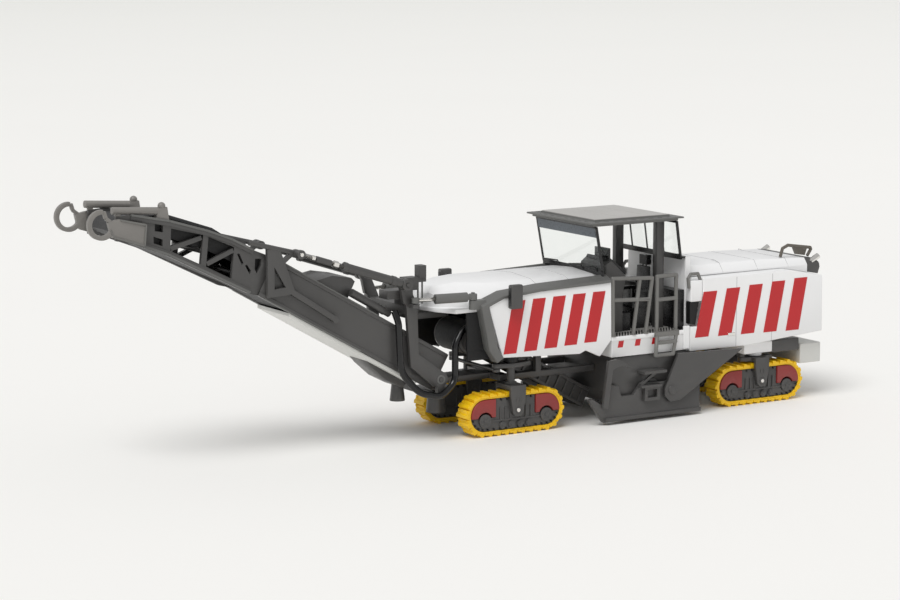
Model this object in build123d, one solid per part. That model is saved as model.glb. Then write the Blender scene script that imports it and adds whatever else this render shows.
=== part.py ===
"""Cold planer milling machine, a small plastic display model.

Frame while modelling: X forward along the discharge conveyor, Y to the left,
Z up, millimetres at the model's own size. X is counted from the front columns.
At the end everything moves together, so that the origin lies under the middle
of the whole model.
"""

from build123d import *
from math import cos, hypot, pi, radians, sin
import os

# Running gear
wheelbase = 63.8
gauge = 17.1
track_length = 24.14
track_height = 9.09
track_width = 4.1
lug_height = 0.4
lug_share = 0.5
shoe_pitch = 2.0
belt_thickness = 0.75
frame_gap = 0.12
frame_width = 3.5
guard_width = 4.3
guard_reach = 6.0
guard_drop = 3.9
guard_notch = 1.7
guard_depth = 2.4
roller_r = 0.75
pin_z = 5.2
pin_r = 0.45
column_r = 0.85
collar_r = 1.6
running_gap = 0.06
yoke_leg_thickness = 0.7
yoke_leg_gap = 0.25
yoke_leg_length = 3.7
yoke_foot_r = 1.35
yoke_head = 1.0
steer_arm = 3.6
tie_rod_r = 0.4
tie_rod_gap = 0.08
tie_eye_half = 0.32
front_tie_z = 13.9
arm_thickness = 0.9

# Body
half_width = 12.6
skin = 1.0
front_sill_z = 15.8
floor_z = 18.6
floor_thickness = 0.9
skirt_bottom_z = 14.2
bay_front_x = -22.6
bay_rear_x = -43.1
nose_x = 18.0
nose_bottom_z = 26.5
hood_z = 32.2
trim_width = 2.1
trim_proud = 0.25
trim_fall = 0.9
rear_x = -wheelbase - 15.7
rear_bottom_z = 13.7
deck_z = 29.3
crosshead_height = 2.4
rear_hood_half = half_width - 3.0
rear_hood_top_half = half_width - 4.4
rear_hood_z = 32.1
cab_wall_z = 34.0
cab_wall_thickness = 1.4
small_gap = 0.15

# Cab
roof_front_x = -17.4
roof_rear_x = -41.3
roof_half = half_width - 0.2
roof_z = 43.0
roof_edge = 0.9
roof_panel = 0.35
roof_border = 2.2
post_x = -38.2
post_y = 7.5
post_length = 2.0
post_width = 1.6
screen_half = half_width - 1.3
screen_bottom = (-21.2, 32.45)
screen_top = (-19.4, 42.0)
glass_thickness = 0.45
rear_glass_bottom = (-41.3, 34.4)
rear_glass_top = (-40.2, 42.0)

# Lower frame and inner conveyor
chassis_z = (10.6, 11.9)
bulkhead_x = (-9.0, -7.6)
primary_half = 4.8

# Drum housing and side plates
drum_x = -33.8
drum_z = 7.3
drum_r = 5.2
pick_r = 0.55
pick_length = 0.9
drum_gap = 0.6
housing_half = half_width - 0.5
drum_half = housing_half - 1.2
housing_front_x = -22.8
housing_rear_x = -45.4
housing_bottom_z = 3.2
side_plate_y = housing_half + 0.2
side_plate_thickness = 1.0
swing_plate_thickness = 0.8
step_reach = 1.6

# Discharge conveyor
conveyor_half = 6.85
wall_thickness = 0.9
flange = 0.3
conveyor_angle = 29.8
conveyor_depth = 8.1
tail_x = 14.1
tail_z = 17.4
fold_x = 53.8
lift_pin = (16.8, 12.7)
lift_pin_r = 0.5
ear_r = 1.6
tip_x = 91.0
tip_z = 49.2
tip_r = 2.9
ring_band = 0.85
chord_proud = 0.4
cover_depth = 0.7
belt_half = 5.5
conveyor_belt_thickness = 0.6

# Slewing frame and cylinders
slew_x = 13.0
sole_z = (8.7, 9.8)
pivot_z = (24.6, 25.8)
head_beam_z = (26.6, 28.4)
slew_pin_r = 0.9
arm_gap = 0.25
arm_plate = 0.95
lift_barrel_r = 0.9
lift_rod_r = 0.42
lift_rear_pin = (25.6, 33.1)
lift_front_pin = (49.6, 40.9)
lift_barrel_share = 0.6
slew_barrel_r = 1.0
slew_rod_r = 0.42
slew_rear_pin = (11.0, half_width - 1.3)
slew_front_pin = (23.6, 9.6)
slew_cylinder_z = 29.75
slew_barrel_share = 0.66
eye_pin_r = 0.38
eye_r = 0.85
hose_r = 0.7

# Railing and ladder
rail_r = 0.42
rail_y = half_width - 0.4


def block(x_range, y_range, z_range):
    """A box between two values on each axis."""
    sizes = [high - low for low, high in (x_range, y_range, z_range)]
    middles = [(high + low) / 2 for low, high in (x_range, y_range, z_range)]
    return Pos(*middles) * Box(*sizes)


def side_plate(points, y_range):
    """A plate with an outline in X and Z, between two Y values."""
    low, high = y_range
    outline = make_face(Polyline(*points, close=True))
    return extrude(Plane.XZ.offset(-high) * outline, amount=high - low)


def deck_plate(points, z_range):
    """A plate with an outline in X and Y, between two heights."""
    low, high = z_range
    outline = make_face(Polyline(*points, close=True))
    return extrude(Plane.XY.offset(low) * outline, amount=high - low)


def cross_bar(points, x_range):
    """A bar with a section in Y and Z, between two X values."""
    low, high = x_range
    outline = make_face(Polyline(*points, close=True))
    return extrude(Plane.YZ.offset(low) * outline, amount=high - low)


def rod(start, end, radius):
    """A round bar from one point to another."""
    run = Vector(*end) - Vector(*start)
    bottom = (Align.CENTER, Align.CENTER, Align.MIN)
    return Plane(origin=start, z_dir=run) * Cylinder(radius, run.length, align=bottom)


def across(x, z, radius, y_range):
    """A round bar along Y."""
    return rod((x, y_range[0], z), (x, y_range[1], z), radius)


def bent_rod(points, radius):
    """Round bars joined by balls at the corners."""
    shape = rod(points[0], points[1], radius)
    for start, end in zip(points[1:], points[2:]):
        shape += Pos(*start) * Sphere(radius)
        shape += rod(start, end, radius)
    return shape


def strip(start, end, width, y_range):
    """A flat bar lying in a plane of constant Y, from point to point in X and Z."""
    run_x, run_z = end[0] - start[0], end[1] - start[1]
    length = hypot(run_x, run_z)
    side_x, side_z = -run_z / length * width / 2, run_x / length * width / 2
    points = [
        (start[0] + side_x, start[1] + side_z),
        (end[0] + side_x, end[1] + side_z),
        (end[0] - side_x, end[1] - side_z),
        (start[0] - side_x, start[1] - side_z),
    ]
    return side_plate(points, y_range)


def flip(shape):
    """The same shape on the other side of the middle."""
    return mirror(shape, about=Plane.XZ)


def both(shape):
    """A shape and its mirror image, as solids that don't touch."""
    return Compound(children=[*shape.solids(), *flip(shape).solids()])


def joined(*shapes):
    """Several separate solids in one node."""
    return Compound(children=[solid for shape in shapes for solid in shape.solids()])


# Tracks
track_axis_z = track_height / 2
track_straight = (track_length - track_height) / 2
pad_r = track_axis_z - lug_height
inner_r = pad_r - belt_thickness


def stadium(radius, y_half):
    """A long round-ended block on the track's own axis."""
    middle = block(
        (-track_straight, track_straight), (-y_half, y_half), (track_axis_z - radius, track_axis_z + radius)
    )
    for end in (-track_straight, track_straight):
        middle += across(end, track_axis_z, radius, (-y_half, y_half))
    return middle


def loop_point(distance, radius):
    """A point on the loop, at a distance along the pad line and a radius from its axis."""
    side = 2 * track_straight
    curve = pi * pad_r
    distance %= 2 * (side + curve)
    if distance < side:
        return (-track_straight + distance, track_axis_z + radius)
    distance -= side
    if distance < curve:
        turn = distance / pad_r
        return (track_straight + radius * sin(turn), track_axis_z + radius * cos(turn))
    distance -= curve
    if distance < side:
        return (track_straight - distance, track_axis_z - radius)
    turn = (distance - side) / pad_r
    return (-track_straight - radius * sin(turn), track_axis_z - radius * cos(turn))


def track_loop():
    """One closed track with its shoes and lugs in its outline."""
    length = 4 * track_straight + 2 * pi * pad_r
    shoes = round(length / shoe_pitch)
    pitch = length / shoes
    points = []
    for shoe in range(shoes):
        start = shoe * pitch
        for place, radius in (
            (0, pad_r),
            (1 - lug_share, pad_r),
            (1 - lug_share, pad_r + lug_height),
            (1, pad_r + lug_height),
        ):
            points.append(loop_point(start + (place + lug_share / 2) * pitch, radius))
    outside = side_plate(points, (-track_width / 2, track_width / 2))
    return outside - stadium(inner_r, track_width)


def track_frame():
    """The frame that fills the loop, with its rollers proud of it."""
    radius = inner_r - frame_gap
    body = stadium(radius, frame_width / 2)
    guard_low = track_axis_z + radius - guard_drop
    guard_inner = guard_width / 2 - guard_depth
    for side in (-1, 1):
        reach = sorted((side * (track_straight + radius - guard_reach), side * track_length))
        body -= block(reach, (guard_inner - frame_gap, track_width), (guard_low, track_height))
    for number in range(4):
        x = (number - 1.5) * 2.9 * roller_r
        body += across(
            x, track_axis_z - radius + 1.2 * roller_r, roller_r, (-guard_width / 2, guard_width / 2)
        )
    hub = 1.5 * roller_r
    for side in (-1, 1):
        body += across(side * track_straight, track_axis_z - hub, hub, (-guard_width / 2, guard_width / 2))
    pin_half = track_width / 2 + yoke_leg_gap + yoke_leg_thickness + frame_gap
    return body + across(0, pin_z, pin_r, (-pin_half, pin_half))


def track_guards():
    """The two covers over the outer side of the frame's upper ends."""
    radius = inner_r - frame_gap
    low = track_axis_z + radius - guard_drop
    guard_inner = guard_width / 2 - guard_depth
    full = stadium(radius, guard_width / 2)
    covers = []
    for side in (-1, 1):
        inner = track_straight + radius - guard_reach + frame_gap
        reach = sorted((side * inner, side * track_length))
        cover = full & block(reach, (guard_inner, track_width), (low + frame_gap, track_height))
        notch = across(
            side * track_straight, track_axis_z - 1.5 * roller_r, guard_notch + frame_gap, (
                -track_width, track_width
            )
        )
        covers.append(cover - notch)
    return joined(*covers)


def yoke(column_top, arm_z):
    """The fork over a track, with its column and its steering arm."""
    inside = track_width / 2 + yoke_leg_gap
    outside = inside + yoke_leg_thickness
    half = yoke_leg_length / 2
    low = track_height + yoke_leg_gap
    top = low + yoke_head
    shape = block((-half, half), (-outside, outside), (low, top))
    leg_points = [
        (-half, top),
        (half, top),
        (half, low - yoke_head),
        (yoke_foot_r, pin_z),
        (-yoke_foot_r, pin_z),
        (-half, low - yoke_head),
    ]
    bore_r = pin_r + running_gap
    for side in (-1, 1):
        reach = sorted((side * inside, side * outside))
        leg = side_plate(leg_points, reach) + across(0, pin_z, yoke_foot_r, reach)
        shape += leg - across(0, pin_z, bore_r, reach)
    shape += rod((0, 0, top), (0, 0, column_top), column_r)
    wide = 1.5
    arm_points = [
        (steer_arm, 0.85),
        (1.4, wide),
        (-1.2, wide),
        (-4.6, 0.5),
        (-4.6, -0.5),
        (-1.2, -wide),
        (1.4, -wide),
        (steer_arm, -0.85),
    ]
    arm = deck_plate(arm_points, (arm_z, arm_z + arm_thickness))
    arm += rod((steer_arm, 0, arm_z), (steer_arm, 0, arm_z + arm_thickness), column_r)
    return shape + arm


# The steering links lie over the front arms and the rear arms
yoke_top_z = track_height + yoke_leg_gap + yoke_head
front_column_top = front_sill_z + 2.2
rear_column_top = rear_bottom_z - 0.3
rear_arm_z = yoke_top_z - arm_thickness


def tie_rod(x, arm_z, above):
    """A bar from one steering arm to the other, with an eye at each end, over or under the arms."""
    step = tie_rod_gap + tie_rod_r
    z = arm_z + arm_thickness + step if above else arm_z - step
    half = gauge / 2
    bar = rod((x, -half, z), (x, half, z), tie_rod_r)
    for side in (-1, 1):
        bar += rod((x, side * half, z - tie_eye_half), (x, side * half, z + tie_eye_half), column_r)
    return bar


# Hood and panels
front_panel_points = [
    (8.0, 27.6),
    (4.5, 29.0),
    (-4.7, 29.8),
    (bay_front_x + 0.2, 30.3),
    (bay_front_x, floor_z - 0.5),
    (-19.7, 14.8),
    (-16.1, 16.4),
    (-14.6, front_sill_z),
    (4.5, front_sill_z + 0.9),
]
trim_top = [(9.7, 28.6), (4.8, 30.4), (-4.7, 31.2), (bay_front_x + 0.3, 31.8)]
trim_rest = [
    (bay_front_x + 0.3, 30.3),
    (-4.7, 29.8),
    (4.5, 29.0),
    (8.0, 27.6),
    (5.9, 19.0),
    (4.5, front_sill_z + 0.9),
    (6.0, front_sill_z),
    (7.9, 18.6),
    (9.7, 27.2),
]


def front_panel():
    """The left front side panel, one wall thick."""
    return side_plate(front_panel_points, (half_width - skin, half_width))


def trim():
    """The grey band that slopes out from the hood's left edge, and its leg down the front corner."""
    faces = []
    for y, drop in ((half_width - trim_width, 0), (half_width + trim_proud, trim_fall)):
        outline = [(x, z - drop) for x, z in trim_top] + trim_rest
        faces.append(Plane.XZ.offset(-y) * make_face(Polyline(*outline, close=True)))
    band = loft(faces, ruled=True)
    return band - side_plate(front_panel_points, (half_width - skin - small_gap / 3, half_width + skin))


hood_half = half_width - trim_width - small_gap / 3


def front_hood():
    """The white hood between the trims, with the nose over the conveyor's tail."""
    crown = cross_bar(
        [
            (-hood_half, nose_bottom_z),
            (-hood_half, hood_z - 1.6),
            (-0.7 * hood_half, hood_z - 0.5),
            (0, hood_z),
            (0.7 * hood_half, hood_z - 0.5),
            (hood_half, hood_z - 1.6),
            (hood_half, nose_bottom_z),
        ],
        (bay_front_x + 0.3, nose_x),
    )
    profile = side_plate(
        [
            (bay_front_x + 0.3, nose_bottom_z),
            (bay_front_x + 0.3, hood_z + 1),
            (nose_x - 9, hood_z + 1),
            (nose_x - 9, hood_z),
            (nose_x - 2.0, hood_z - 1.0),
            (nose_x - 0.6, hood_z - 2.4),
            (nose_x, nose_bottom_z),
        ],
        (-half_width, half_width),
    )
    plan = deck_plate(
        [
            (bay_front_x, -half_width),
            (8.0, -half_width),
            (9.6, -hood_half + 0.4),
            (nose_x - 4.0, -7.4),
            (nose_x - 0.8, -3.6),
            (nose_x, 0),
            (nose_x - 0.8, 3.6),
            (nose_x - 4.0, 7.4),
            (9.6, hood_half - 0.4),
            (8.0, half_width),
            (bay_front_x, half_width),
        ],
        (nose_bottom_z - 1, hood_z + 1),
    )
    shape = crown & profile & plan
    corner = Plane(origin=(2.3, hood_half, hood_z - 1.6), z_dir=(13.4, 27.0, 37.1))
    above = corner * Box(60, 60, 12, align=(Align.CENTER, Align.CENTER, Align.MIN))
    shape = shape - above - flip(above)
    lip = deck_plate(
        [
            (9.0, -hood_half + 0.2),
            (nose_x - 3.6, -hood_half + 0.2),
            (nose_x - 1.2, -6.0),
            (nose_x + 0.2, 0),
            (nose_x - 1.2, 6.0),
            (nose_x - 3.6, hood_half - 0.2),
            (9.0, hood_half - 0.2),
        ],
        (nose_bottom_z - 0.2, nose_bottom_z + 0.7),
    )
    pin = rod((slew_x, 0, pivot_z[0] + 0.1), (slew_x, 0, nose_bottom_z + 0.5), slew_pin_r)
    return shape + lip + pin


def bulkhead():
    """The dark wall and cheeks of the tail bay, with the side rails that carry the front columns."""
    inside = half_width - skin - small_gap / 3
    rail_inner = gauge / 2 - collar_r - 0.4
    wall = block(bulkhead_x, (-inside, inside), (front_sill_z + 0.6, nose_bottom_z - 0.3))
    for side in (-1, 1):
        y_range = sorted((side * rail_inner, side * inside))
        rail = block((bulkhead_x[0], 3.6), y_range, (front_sill_z + 1.0, front_sill_z + 3.0))
        collar = rod(
            (0, side * gauge / 2, front_sill_z - 0.8), (0, side * gauge / 2, front_sill_z + 1.2), collar_r
        )
        bore = rod(
            (0, side * gauge / 2, 0), (0, side * gauge / 2, front_column_top + 0.3), column_r + running_gap
        )
        cheek_y = sorted((side * (half_width - 2.8), side * (half_width - 2.2)))
        cheek = block((bulkhead_x[0], 11.8), cheek_y, (front_sill_z + 2.6, nose_bottom_z - 0.3))
        wall += (rail + collar) - bore + cheek
    cab_front = block(
        (bay_front_x + 0.4, bay_front_x + 1.4), (-inside, inside), (floor_z - 0.4, nose_bottom_z - 0.03)
    )
    return joined(wall, cab_front)


def chassis():
    """The lower frame: beams beside the inner conveyor and the tongue under the bay, with its pin."""
    beam_inner = primary_half + 0.4
    beam_y = (beam_inner, beam_inner + 1.2)
    shape = block((-1.0, slew_x), (-2.6, 2.6), chassis_z) + rod(
        (slew_x, 0, chassis_z[0]), (slew_x, 0, chassis_z[1]), 2.6
    )
    shape += block((-1.0, 1.4), (-beam_y[1], beam_y[1]), chassis_z)
    for side in (-1, 1):
        y_range = sorted((side * beam_y[0], side * beam_y[1]))
        shape += block((housing_front_x + small_gap, 1.4), y_range, chassis_z)
        shape += block(
            (bulkhead_x[0], bulkhead_x[1]), y_range, (chassis_z[1], front_sill_z + 0.6 - small_gap / 5)
        )
    return shape + rod((slew_x, 0, sole_z[0] + 0.1), (slew_x, 0, chassis_z[0]), slew_pin_r)


def rear_body():
    """The white rear body under the engine hood."""
    points = [
        (-44.9, deck_z),
        (-44.6, 24.9),
        (-43.3, 19.7),
        (bay_rear_x, 17.0),
        (bay_rear_x, rear_bottom_z),
        (-wheelbase + 4.8, rear_bottom_z),
        (rear_x, 15.2),
        (rear_x + 0.2, deck_z - 1.7),
        (rear_x + 9.4, deck_z + 0.1),
    ]
    shape = side_plate(points, (-half_width, half_width))
    wall_rear = bay_rear_x - cab_wall_thickness - small_gap / 3
    recess = block((-46.5, -30), (rear_hood_half + 1.05, half_width + 1), (19.0, deck_z + 1))
    inside = block((wall_rear, -30), (-half_width + 1.2, half_width - 1.2), (floor_z, deck_z + 1))
    under = block((bay_rear_x, -30), (-half_width, half_width), (rear_bottom_z - 1, floor_z + small_gap / 5))
    return shape - recess - flip(recess) - inside - under


def hood_section(x_range):
    """The engine hood's section, between two X values."""
    return cross_bar(
        [
            (-rear_hood_half, deck_z - 2),
            (-rear_hood_half, deck_z + 0.5),
            (-rear_hood_top_half, rear_hood_z - 0.5),
            (-0.6 * rear_hood_top_half, rear_hood_z),
            (0.6 * rear_hood_top_half, rear_hood_z),
            (rear_hood_top_half, rear_hood_z - 0.5),
            (rear_hood_half, deck_z + 0.5),
            (rear_hood_half, deck_z - 2),
        ],
        x_range,
    )


def engine_hood():
    """The white hood over the engine, narrower than the body."""
    end = rear_x + 2.05
    profile = side_plate(
        [
            (-45.2, deck_z + 0.15),
            (-45.2, rear_hood_z - 0.3),
            (-49.5, rear_hood_z + 0.1),
            (end, rear_hood_z - 0.9),
            (end, deck_z - 1.3),
            (rear_x + 9.5, deck_z + 0.15),
        ],
        (-half_width, half_width),
    )
    return hood_section((rear_x, -45.0)) & profile


def rear_grille():
    """The dark grille that closes the rear end of the engine hood, with its two pipe ends."""
    front, rear = rear_x + 2.0, rear_x - 1.4
    profile = side_plate(
        [
            (front, deck_z - 1.2),
            (front, rear_hood_z - 0.9),
            (rear + 1.2, rear_hood_z - 1.1),
            (rear + 0.2, rear_hood_z - 1.9),
            (rear, deck_z - 0.3),
            (rear + 0.5, deck_z - 1.75),
        ],
        (-half_width, half_width),
    )
    shape = hood_section((rear, front)) & profile
    for number in range(4):
        groove_z = deck_z - 0.9 + 0.75 * number
        shape -= block(
            (rear - 1, rear + 0.55),
            (-rear_hood_half + 1.2, rear_hood_half - 1.2),
            (groove_z, groove_z + 0.35),
        )
    for side in (-1, 1):
        y = side * (rear_hood_half - 0.75)
        shape += rod((rear + 2.4, y, 30.1), (rear + 0.3, y, 31.2), 0.5)
    return shape


def cab_wall():
    """The white wall behind the seat, up to the rear window."""
    front = bay_rear_x
    rear = front - cab_wall_thickness
    half = rear_hood_half + 1.0
    return block((rear, front), (-half, half), (floor_z + small_gap, cab_wall_z))


def side_box():
    """The white box with its grab rail beside the steps."""
    box = block((-46.4, -43.3), (rear_hood_half + 1.1, half_width - 0.1), (24.4, 29.0))
    return box


def platform():
    """The operator's floor with its white skirt."""
    front = bay_front_x - small_gap / 2
    rear = bay_rear_x + small_gap / 3
    floor = block((rear, front), (-half_width, half_width), (floor_z - floor_thickness, floor_z))
    skirt_front = front - 0.2
    skirt = block(
        (rear, skirt_front),
        (-half_width + 0.2, half_width - 0.2),
        (skirt_bottom_z, floor_z - floor_thickness),
    )
    hollow = block(
        (rear + 1.4, skirt_front - 1.2),
        (-half_width + 1.4, half_width - 1.4),
        (skirt_bottom_z - 1, floor_z - floor_thickness),
    )
    return floor + (skirt - hollow)


def cab_roof():
    """The canopy: a thin slab with a sloping fascia and a raised centre panel."""
    low = roof_z - roof_edge
    top_points = [
        (roof_rear_x, -roof_half),
        (roof_front_x, -roof_half),
        (roof_front_x, roof_half),
        (roof_rear_x, roof_half),
    ]
    slab = deck_plate(top_points, (roof_z - 0.35, roof_z))
    inner = 0.9
    under = deck_plate(
        [
            (roof_rear_x + inner, -roof_half + inner),
            (roof_front_x - inner, -roof_half + inner),
            (roof_front_x - inner, roof_half - inner),
            (roof_rear_x + inner, roof_half - inner),
        ],
        (low, roof_z - 0.3),
    )
    panel = block(
        (roof_rear_x + roof_border, roof_front_x - roof_border),
        (-roof_half + roof_border, roof_half - roof_border),
        (roof_z - 0.1, roof_z + roof_panel),
    )
    return slab + under + panel


def cab_posts():
    """The two posts that carry the canopy."""
    post = block(
        (post_x - post_length / 2, post_x + post_length / 2),
        (post_y - post_width / 2, post_y + post_width / 2),
        (floor_z + small_gap / 5, roof_z - roof_edge),
    )
    return both(post)


def leaning_glass(bottom, top, half):
    """A flat pane whose lower and upper edges are given in X and Z."""
    half_thick = glass_thickness / 2
    points = [
        (bottom[0] - half_thick, bottom[1]),
        (bottom[0] + half_thick, bottom[1]),
        (top[0] + half_thick, top[1]),
        (top[0] - half_thick, top[1]),
    ]
    return side_plate(points, (-half, half))


def console():
    """The operator's desk, with a sloping top."""
    points = [
        (-24.0, floor_z + small_gap / 5),
        (-24.0, 33.2),
        (-25.4, 34.2),
        (-29.4, 30.6),
        (-28.6, 27.0),
        (-28.6, floor_z + small_gap / 5),
    ]
    desk = side_plate(points, (-1.0, 8.2))
    return desk


def seat():
    """A seat on a pedestal."""
    y_range = (2.4, 6.8)
    base = block((-35.8, -33.4), (3.6, 5.6), (floor_z + small_gap / 5, 23.2))
    cushion = block((-36.6, -32.0), y_range, (23.2, 24.8))
    back = side_plate(
        [(-36.8, 23.2), (-35.6, 23.2), (-36.0, 31.9), (-36.9, 31.9)], (y_range[0] + 0.3, y_range[1] - 0.3)
    )
    return base + cushion + back


def railing():
    """The handrail along one side of the platform."""
    y = rail_y
    foot = floor_z + small_gap / 5
    rail = bent_rod(
        [
            (bay_front_x - 0.6, y, foot),
            (bay_front_x - 0.4, y, 31.0),
            (-29.6, y, 30.6),
            (-33.2, y, 30.4),
            (-31.6, y, foot),
        ],
        rail_r,
    )
    rail += rod((-30.0, y, 30.6), (-28.4, y, foot), rail_r)
    rail += rod((bay_front_x - 0.5, y, 26.4), (-32.4, y, 25.9), rail_r)
    return rail


def ladder():
    """The step ladder on one side, with its hand loops and lower rungs."""
    y = rail_y
    front, rear = -34.5, -39.5
    low_y = half_width + rail_r + 0.3
    shape = bent_rod(
        [
            (front, y, floor_z + small_gap / 5),
            (front, y, 30.6),
            (rear, y, 30.6),
            (rear, y, floor_z + small_gap / 5),
        ],
        rail_r,
    )
    shape += rod((front, y, 25.6), (rear, y, 25.6), rail_r)
    lower = bent_rod(
        [
            (front + 0.6, low_y, floor_z - 0.6),
            (front + 1.0, low_y, 13.8),
            (rear + 1.4, low_y, 13.8),
            (rear + 0.6, low_y, floor_z - 0.6),
        ],
        rail_r,
    )
    lower += rod((front + 0.8, low_y, 16.5), (rear + 0.6, low_y, 16.5), rail_r)
    tread = block(
        (rear, front + 0.9), (half_width + 0.05, low_y + 0.6 * rail_r), (floor_z - 0.8, floor_z + 0.2)
    )
    return shape, lower + tread


def lamp_box():
    """The box on the front corner, with its bracket to the trim."""
    box = block((0.9, 3.7), (half_width + 0.6, half_width + 2.0), (26.9, 31.9))
    bracket = block((1.6, 3.0), (half_width + 0.02, half_width + 0.7), (27.6, 28.7))
    return box + bracket


# Milling drum
housing_top_z = skirt_bottom_z - small_gap


def milling_drum():
    """The drum with its picks in two crossing spirals."""
    shape = across(drum_x, drum_z, drum_r, (-drum_half, drum_half))
    shaft = across(drum_x, drum_z, 1.4, (-housing_half + 0.05, housing_half - 0.05))
    shape += shaft
    rows = 14
    for row in range(rows):
        y = (row - (rows - 1) / 2) * 2 * (drum_half - pick_r) / rows
        for start in range(4):
            turn = radians(90 * start + 26 * abs(row - (rows - 1) / 2))
            inner = (drum_x + (drum_r - 0.5) * cos(turn), y, drum_z + (drum_r - 0.5) * sin(turn))
            outer = (
                drum_x + (drum_r + pick_length) * cos(turn), y, drum_z + (drum_r + pick_length) * sin(turn)
            )
            shape += rod(inner, outer, pick_r)
    return shape


def drum_housing():
    """The box around the drum, open below, with a bore for its shaft in each end."""
    outline = [
        (housing_front_x, housing_bottom_z + 3.5),
        (housing_front_x, 12.2),
        (housing_front_x - 1.0, housing_top_z),
        (bay_rear_x + 0.4, housing_top_z),
        (bay_rear_x + 0.2, rear_bottom_z - small_gap),
        (housing_rear_x, rear_bottom_z - small_gap),
        (housing_rear_x, housing_bottom_z),
        (housing_front_x - 3.0, housing_bottom_z),
    ]
    shape = side_plate(outline, (-housing_half, housing_half))
    cavity_r = drum_r + pick_length + drum_gap
    inner = drum_half + drum_gap
    cavity = across(drum_x, drum_z, cavity_r, (-inner, inner))
    cavity += block((drum_x - cavity_r, drum_x + cavity_r), (-inner, inner), (0, drum_z))
    bore = across(drum_x, drum_z, 1.4 + running_gap, (-housing_half - 1, housing_half + 1))
    return shape - cavity - bore


def ski_plate():
    """The outer side plate that slides along the ground."""
    points = [
        (-16.5, 5.6),
        (-17.3, 6.0),
        (-21.2, 3.6),
        (-22.0, 8.5),
        (-23.9, 8.3),
        (-24.8, 5.9),
        (-28.0, 5.9),
        (-28.9, 6.9),
        (-30.0, 8.2),
        (housing_rear_x, 8.0),
        (housing_rear_x, 1.0),
        (-29.8, 0.7),
        (-20.2, 0.6),
    ]
    high = side_plate_y + side_plate_thickness
    plate = side_plate(points, (side_plate_y, high))
    rail = block((housing_rear_x, -20.6), (side_plate_y, high + 0.5), (0.75, 1.6))
    return plate + rail


def hook_strut():
    """The upright lift strut at the front of a side plate, with its curved hook."""
    low = side_plate_y + side_plate_thickness + small_gap / 5
    y_range = (low, low + 0.8)
    shape = strip((-20.2, 3.8), (-21.6, 13.8), 1.3, y_range)
    hook_outer = across(-22.6, 9.4, 4.6, y_range)
    hook_inner = across(-24.2, 8.4, 4.1, (low - 1, low + 2))
    window = block((-26.9, -21.4), (low - 1, low + 2), (9.6, 14.4))
    return shape + ((hook_outer - hook_inner) & window)


def steps():
    """Two treads and a toe loop on the side plate."""
    low = side_plate_y + side_plate_thickness + small_gap / 5
    high = low + step_reach
    upper = block((-35.4, -29.6), (housing_half + small_gap / 5, high), (10.3, 10.9))
    lower = block((-34.2, -28.9), (low, high), (7.4, 7.9))
    loop = block((-34.2, -30.2), (low, low + 0.9), (4.4, 7.4)) - block(
        (-33.4, -31.0), (low - 1, low + 2), (5.1, 6.8)
    )
    stay = strip((-29.4, 7.9), (-33.2, 10.3), 0.6, (low, low + 0.6))
    return upper + lower + loop + stay


def swing_plate():
    """The large slanting plate over the rear of the side plate, pinned at its lower corner."""
    low = side_plate_y + side_plate_thickness + small_gap / 5
    high = low + swing_plate_thickness
    points = [(-39.1, 13.9), (-56.4, 13.5), (-39.7, 3.8), (-37.0, 3.6), (-35.6, 5.0), (-35.5, 6.6)]
    plate = side_plate(points, (low, high))
    hub = across(-37.4, 6.2, 1.0, (low, high + 0.35))
    return plate + hub


def primary_conveyor():
    """The inner conveyor from the drum housing up to the tail bay, with its round head."""
    half = primary_half
    trough = strip((-21.4, 4.6), (6.2, 19.9), 4.2, (-half, half))
    head = across(7.0, 19.9, 3.4, (-half - 0.3, half + 0.3))
    boss = across(6.8, 19.7, 0.8, (-half - 0.9, half + 0.9))
    return trough + head + boss


def rear_crosshead():
    """The white block that carries the rear columns."""
    x = -wheelbase
    half = half_width - 1.8
    shape = block(
        (x - 3.2, x + 4.6), (-half, half), (rear_bottom_z - crosshead_height, rear_bottom_z - 0.02)
    )
    for side in (-1, 1):
        y = side * gauge / 2
        shape -= rod((x, y, 0), (x, y, rear_column_top + 0.15), column_r + running_gap)
    return shape


def rear_collars():
    """Dark rings under the rear crosshead."""
    x = -wheelbase
    low = yoke_top_z + small_gap
    high = rear_bottom_z - crosshead_height
    ring = rod((x, gauge / 2, low), (x, gauge / 2, high), collar_r)
    ring -= rod((x, gauge / 2, 0), (x, gauge / 2, 20), column_r + running_gap)
    return both(ring)


def rear_box():
    """The dark box behind the rear columns."""
    half = half_width - 2.4
    return block((-wheelbase - 11.2, -wheelbase - 3.5), (-half, half), (10.9, rear_bottom_z - 0.05))


def rear_bumper():
    """The pale beam across the rear."""
    half = half_width - 2.2
    return block((rear_x - 1.5, rear_x + 4.3), (-half, half), (7.8, 12.2))


def rear_handrail():
    """The grab rail on the left of the rear deck, with the plate that hangs from it."""
    y = rear_hood_top_half - 1.2
    points = [
        (rear_x + 7.7, y, 31.53),
        (rear_x + 7.1, y, 33.4),
        (rear_x + 5.6, y, 34.0),
        (rear_x - 0.7, y, 33.1),
        (rear_x - 0.9, y, 32.7),
        (rear_x + 0.1, y, 31.28),
    ]
    hanging = [(rear_x + 4.4, 33.7), (rear_x + 0.4, 33.1), (rear_x + 1.0, 31.5), (rear_x + 3.5, 31.9)]
    return bent_rod(points, 0.85 * rail_r) + side_plate(hanging, (y - 0.3, y + 0.3))


# Conveyor
run_x, run_z = cos(radians(conveyor_angle)), sin(radians(conveyor_angle))


def along(distance, drop=0.0):
    """A point on the conveyor's rear section, counted from the tail's upper corner."""
    return (tail_x + distance * run_x + drop * run_z, tail_z + distance * run_z - drop * run_x)


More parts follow.
